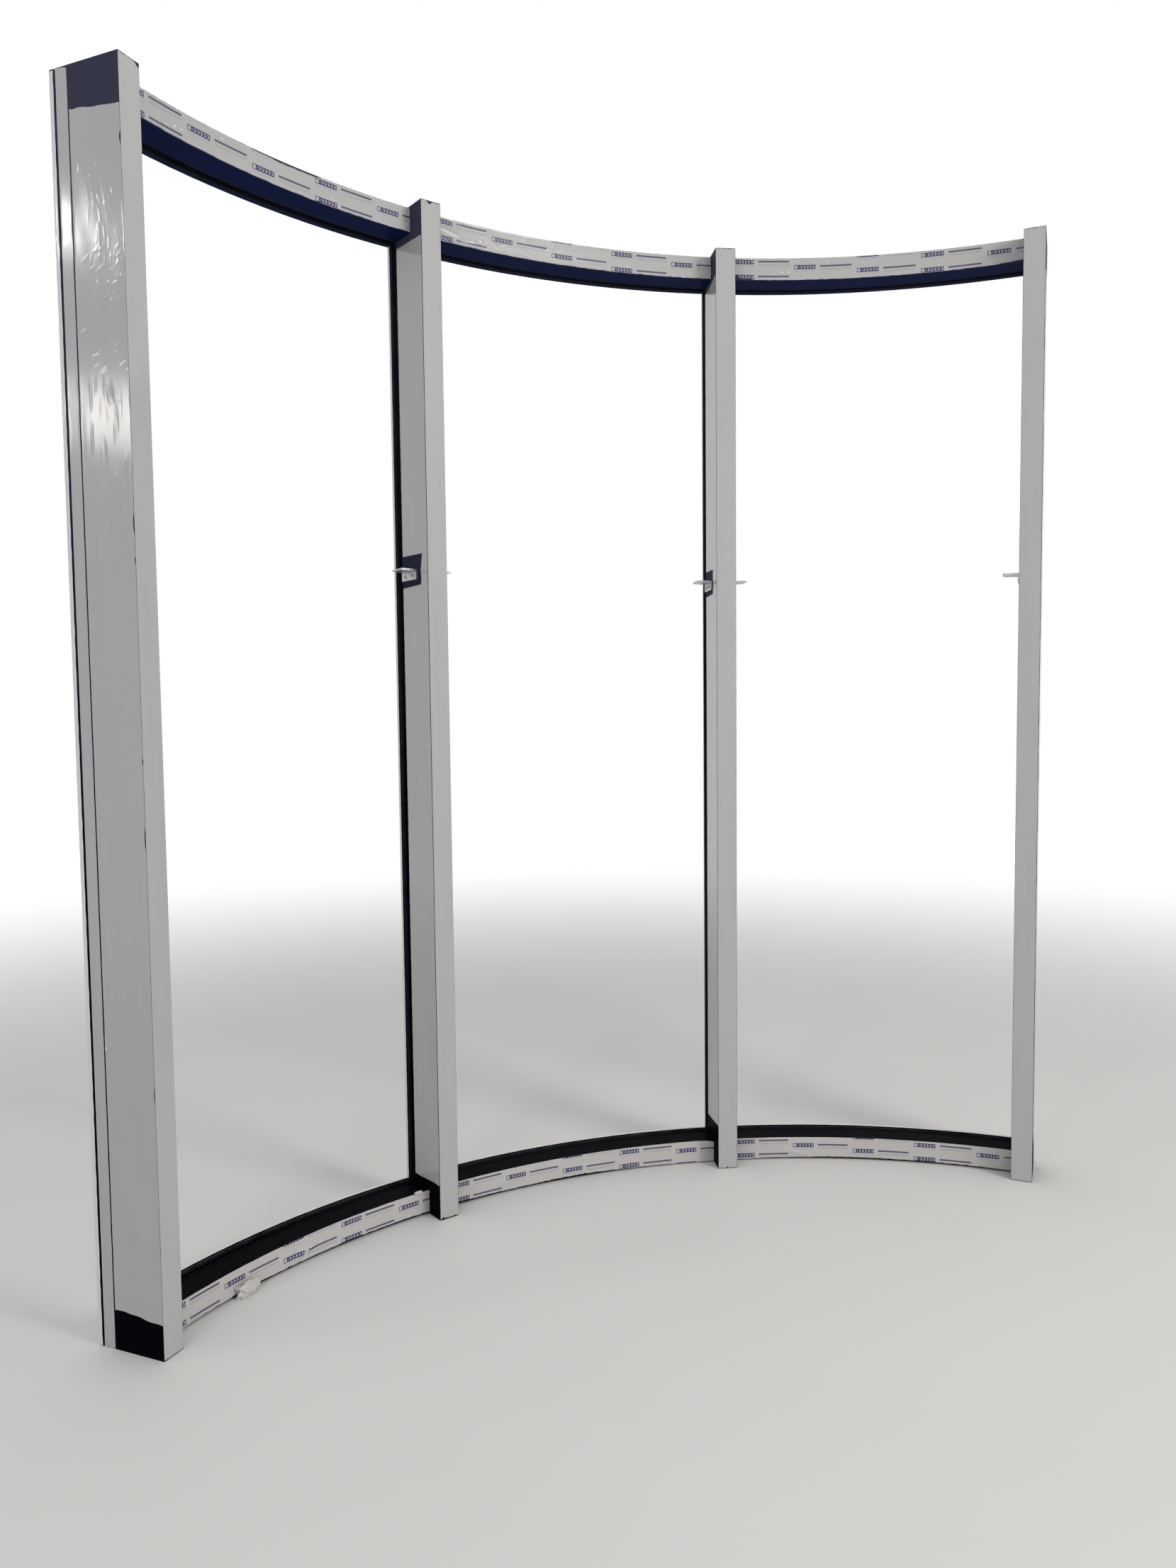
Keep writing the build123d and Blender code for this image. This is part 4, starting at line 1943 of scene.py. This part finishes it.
def side_sheets() -> tuple[tuple[SideSheet, SideSheet], ...]:
    """The left and the right sheet of each post, from left to right.

    Returns:
        Four pairs. The left sheets of the first three posts follow the photograph, and the others, which it
        hides, are cut in the same manner.
    """
    seen = {"pitch_length": 7, "pitch_width": 4}
    hidden_top = ((0, 2706), (70, 2706.5), (141, 2710))
    outer_1 = SideSheet(
        foot=((0, 83), (30, 84), (70, 90), (110, 94), (141, 93)),
        top=(
            (1, 2694.1),
            (29, 2697.2),
            (73, 2700.7),
            (102, 2705.8),
            (120, 2707.5),
            (124.7, 2705.8),
            (141, 2709.3),
        ),
        front=0.1,
        slits=(
            (580, 625, 1.8),
            (1135, 1195, 2.4),
            (1322, 1342, 1.6),
            (1749, 1768, 2),
            (1808, 1862, 2.8),
            (2610, 2642, 3.4),
        ),
        relief=post_1_relief(),
        pitch_width=2.2,
        fine=(1900, 2700, 3.2),
    )
    inner_1 = SideSheet(
        foot=((0, 104), (60, 113), (141, 118)),
        top=hidden_top,
        recess=((138, 1784), (46, 1786), (42, 1830), (45, 1864), (138, 1866)),
        relief=side_relief(41),
    )
    outer_2 = SideSheet(
        foot=((0, 98.9), (30, 100.5), (70, 98.5), (110, 95), (138, 96.5)),
        top=((2.4, 2704.5), (9.6, 2707.6), (39, 2707.3), (65, 2709.2), (104, 2709.4), (134.6, 2710.8)),
        recess=(
            (138.5, 1781),
            (37.8, 1784.2),
            (35, 1800),
            (38.5, 1822),
            (33, 1848),
            (28.8, 1867.9),
            (138.5, 1869.3),
        ),
        front=1.4,
        relief=side_relief(43),
        **seen,
    )
    inner_2 = SideSheet(
        foot=((0, 120), (60, 117), (141, 108)),
        top=hidden_top,
        recess=((138, 1784), (48, 1786), (44, 1830), (46, 1864), (138, 1866)),
        relief=side_relief(45),
    )
    outer_3 = SideSheet(
        foot=((0, 137), (70, 131.5), (141, 129)),
        top=((0, 2722.7), (35.9, 2717.7), (78, 2714), (104, 2711.8), (141, 2711)),
        recess=((136, 1784), (48, 1786.5), (44, 1815), (49, 1840), (46, 1860.5), (136, 1862)),
        front=1,
        relief=side_relief(47),
        **seen,
    )
    inner_3 = SideSheet(
        foot=((0, 112), (60, 104), (141, 101)),
        top=((0, 2708), (70, 2709), (141, 2711)),
        recess=((138, 1782), (43, 1784), (39, 1830), (42, 1865), (138, 1867)),
        relief=side_relief(49),
    )
    outer_4 = SideSheet(
        foot=((0, 110), (70, 118), (141, 122)),
        top=((0, 2704), (70, 2706), (141, 2710)),
        recess=((138, 1785), (48, 1786.5), (44, 1826), (49, 1861.5), (138, 1863)),
        relief=side_relief(51),
        **seen,
    )
    inner_4 = SideSheet(
        foot=((0, 110), (70, 104), (141, 104)),
        top=((0, 2688), (70, 2691), (141, 2695)),
        front=5,
        relief=side_relief(53),
    )
    return (outer_1, inner_1), (outer_2, inner_2), (outer_3, inner_3), (outer_4, inner_4)


def posts(plan: ArcPlan) -> list[Post]:
    """The four posts from left to right, with the (lateral, height) outlines of their front films.

    Args:
        plan: Plan of the arc.

    Returns:
        The posts.
    """
    tops = (
        ((-30, 2798), (4, 2798.5), (18, 2797), (22, 2792), (30, 2790)),
        (
            (-30, 2798.2),
            (-13, 2798.6),
            (-11, 2796),
            (-7.5, 2792.6),
            (-4, 2791.4),
            (-1, 2792.2),
            (2, 2795),
            (6, 2798.4),
            (30, 2797.6),
        ),
        ((-30, 2799), (-18, 2798), (-14, 2799.2), (-3, 2797.9), (2, 2799.2), (12, 2797.9), (30, 2799.2)),
        ((-30, 2799), (4, 2797.8), (6, 2799.2), (30, 2799.2)),
    )
    feet = (
        ((-30, 2.4), (30, 1.4)),
        ((-30, 1), (-26.8, 3.2), (-19.4, 8.7), (-16.5, 4), (1.2, 3), (13, 2.3), (17.6, 4.4), (30, 1.2)),
        ((-30, 1.2), (-5, 1.8), (-1, 6), (3, 1.6), (30, 1.2)),
        ((-30, 1.7), (30, 1.6)),
    )
    insets = (0.05, 0.5, 0.4, 0.5)
    closed = (Side.LEFT, None, None, Side.RIGHT)
    places = zip(plan.post_angles, closed, feet, tops, insets, side_sheets())
    return [
        Post(plan, number, angle, shut, foot, top, inset, dict(zip(Side, pair)))
        for number, (angle, shut, foot, top, inset, pair) in enumerate(places, start=1)
    ]


def rails(plan: ArcPlan) -> list[Rail]:
    """Sills and heads of the three bays, with the (degrees, height) outlines of their films.

    Args:
        plan: Plan of the arc.

    Returns:
        Three sills, then three heads.
    """
    sill_edge, head_foot, head_edge = 70.2, 2731, 2795.3
    sills = (
        dict(
            lower=((-43.9, 4.5), (-37.5, 6.5), (-36.4, 9), (-33.5, 9), (-32.5, 7.5), (-16.2, 8.3)),
            upper=((-43.9, sill_edge), (-16.2, sill_edge)),
            relief=(Crease((488, 38), 34, 8, 4, 6), Crease((462, 50), 22, -14, 2.4, 4)),
        ),
        dict(
            lower=((-14.2, 8.5), (-7, 6.8), (0, 9.1), (8, 3.4), (14.2, 1.5)),
            upper=((-14.2, sill_edge), (12.6, sill_edge), (13.6, 68.2), (14.3, 64)),
            relief=(Crease((760, 20), 40, -9, 1, 4),),
            lower_jag=1.6,
        ),
        dict(
            lower=((16.2, 3), (27, 7.8), (43.9, 6)),
            upper=((16.2, sill_edge), (43.9, sill_edge)),
            relief=(Crease((240, 51), 62, 11, 2.4, 6.5), Crease((148, 22), 26, -20, 1.6, 5)),
        ),
    )
    dip = ((-30.2, 2795), (-29.5, 2790.5), (-25.5, 2790), (-24.8, 2795))
    held = ((16.2, 2745), (16.79, 2744.6), (17.23, 2733.8))
    heads = (
        dict(
            lower=((-43.9, 2731.5), (-16.2, head_foot)),
            upper=((-43.9, 2795), *dip, (-16.2, head_edge)),
            relief=(Crumple((560, 14), (70, 12), 1.1, 26, 10),),
            upper_jag=1.6,
        ),
        dict(
            lower=((-14.2, head_foot), (14.2, head_foot)),
            upper=((-14.2, head_edge), (14.2, head_edge)),
            relief=(Crease((90, 34), 40, 12, 0.6, 4), Crease((150, 48), 30, -6, 0.6, 3)),
            upper_jag=0.9,
        ),
        dict(
            lower=(*held, (19, head_foot), (41, head_foot), (43.9, 2736)),
            upper=((16.2, head_edge), (43.9, head_edge)),
            relief=(Crease((420, 22), 60, 8, 0.8, 4),),
            upper_jag=0.6,
        ),
    )
    made = []
    for at_head, shapes in ((False, sills), (True, heads)):
        ends = zip(plan.post_angles, plan.post_angles[1:])
        for bay, ((left, right), shape) in enumerate(zip(ends, shapes), start=1):
            made.append(Rail(plan, bay, at_head, left, right, **shape))
    return made


def bays(plan: ArcPlan) -> list[Bay]:
    """The three openings, from left to right."""
    ends = zip(plan.post_angles, plan.post_angles[1:])
    return [Bay(plan, number, left, right) for number, (left, right) in enumerate(ends, start=1)]


def main() -> None:
    """Builds the dressed frame, the studio and the camera."""
    logging.basicConfig(level=logging.INFO, format="%(message)s")
    bpy.context.scene.view_settings.view_transform = "Standard"
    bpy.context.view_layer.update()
    plan = ArcPlan.from_nodes("post_1_box", "sill_2_cap")
    finishes = Finishes(plan)
    for assembly in (*posts(plan), *rails(plan), LooseFilm(plan), *bays(plan)):
        for piece in assembly.build(finishes):
            LOG.info("%s: %d faces", piece.name, len(piece.data.polygons))
    Studio().build()
    PhotoCamera().build()


if __name__ == "__main__":
    main()
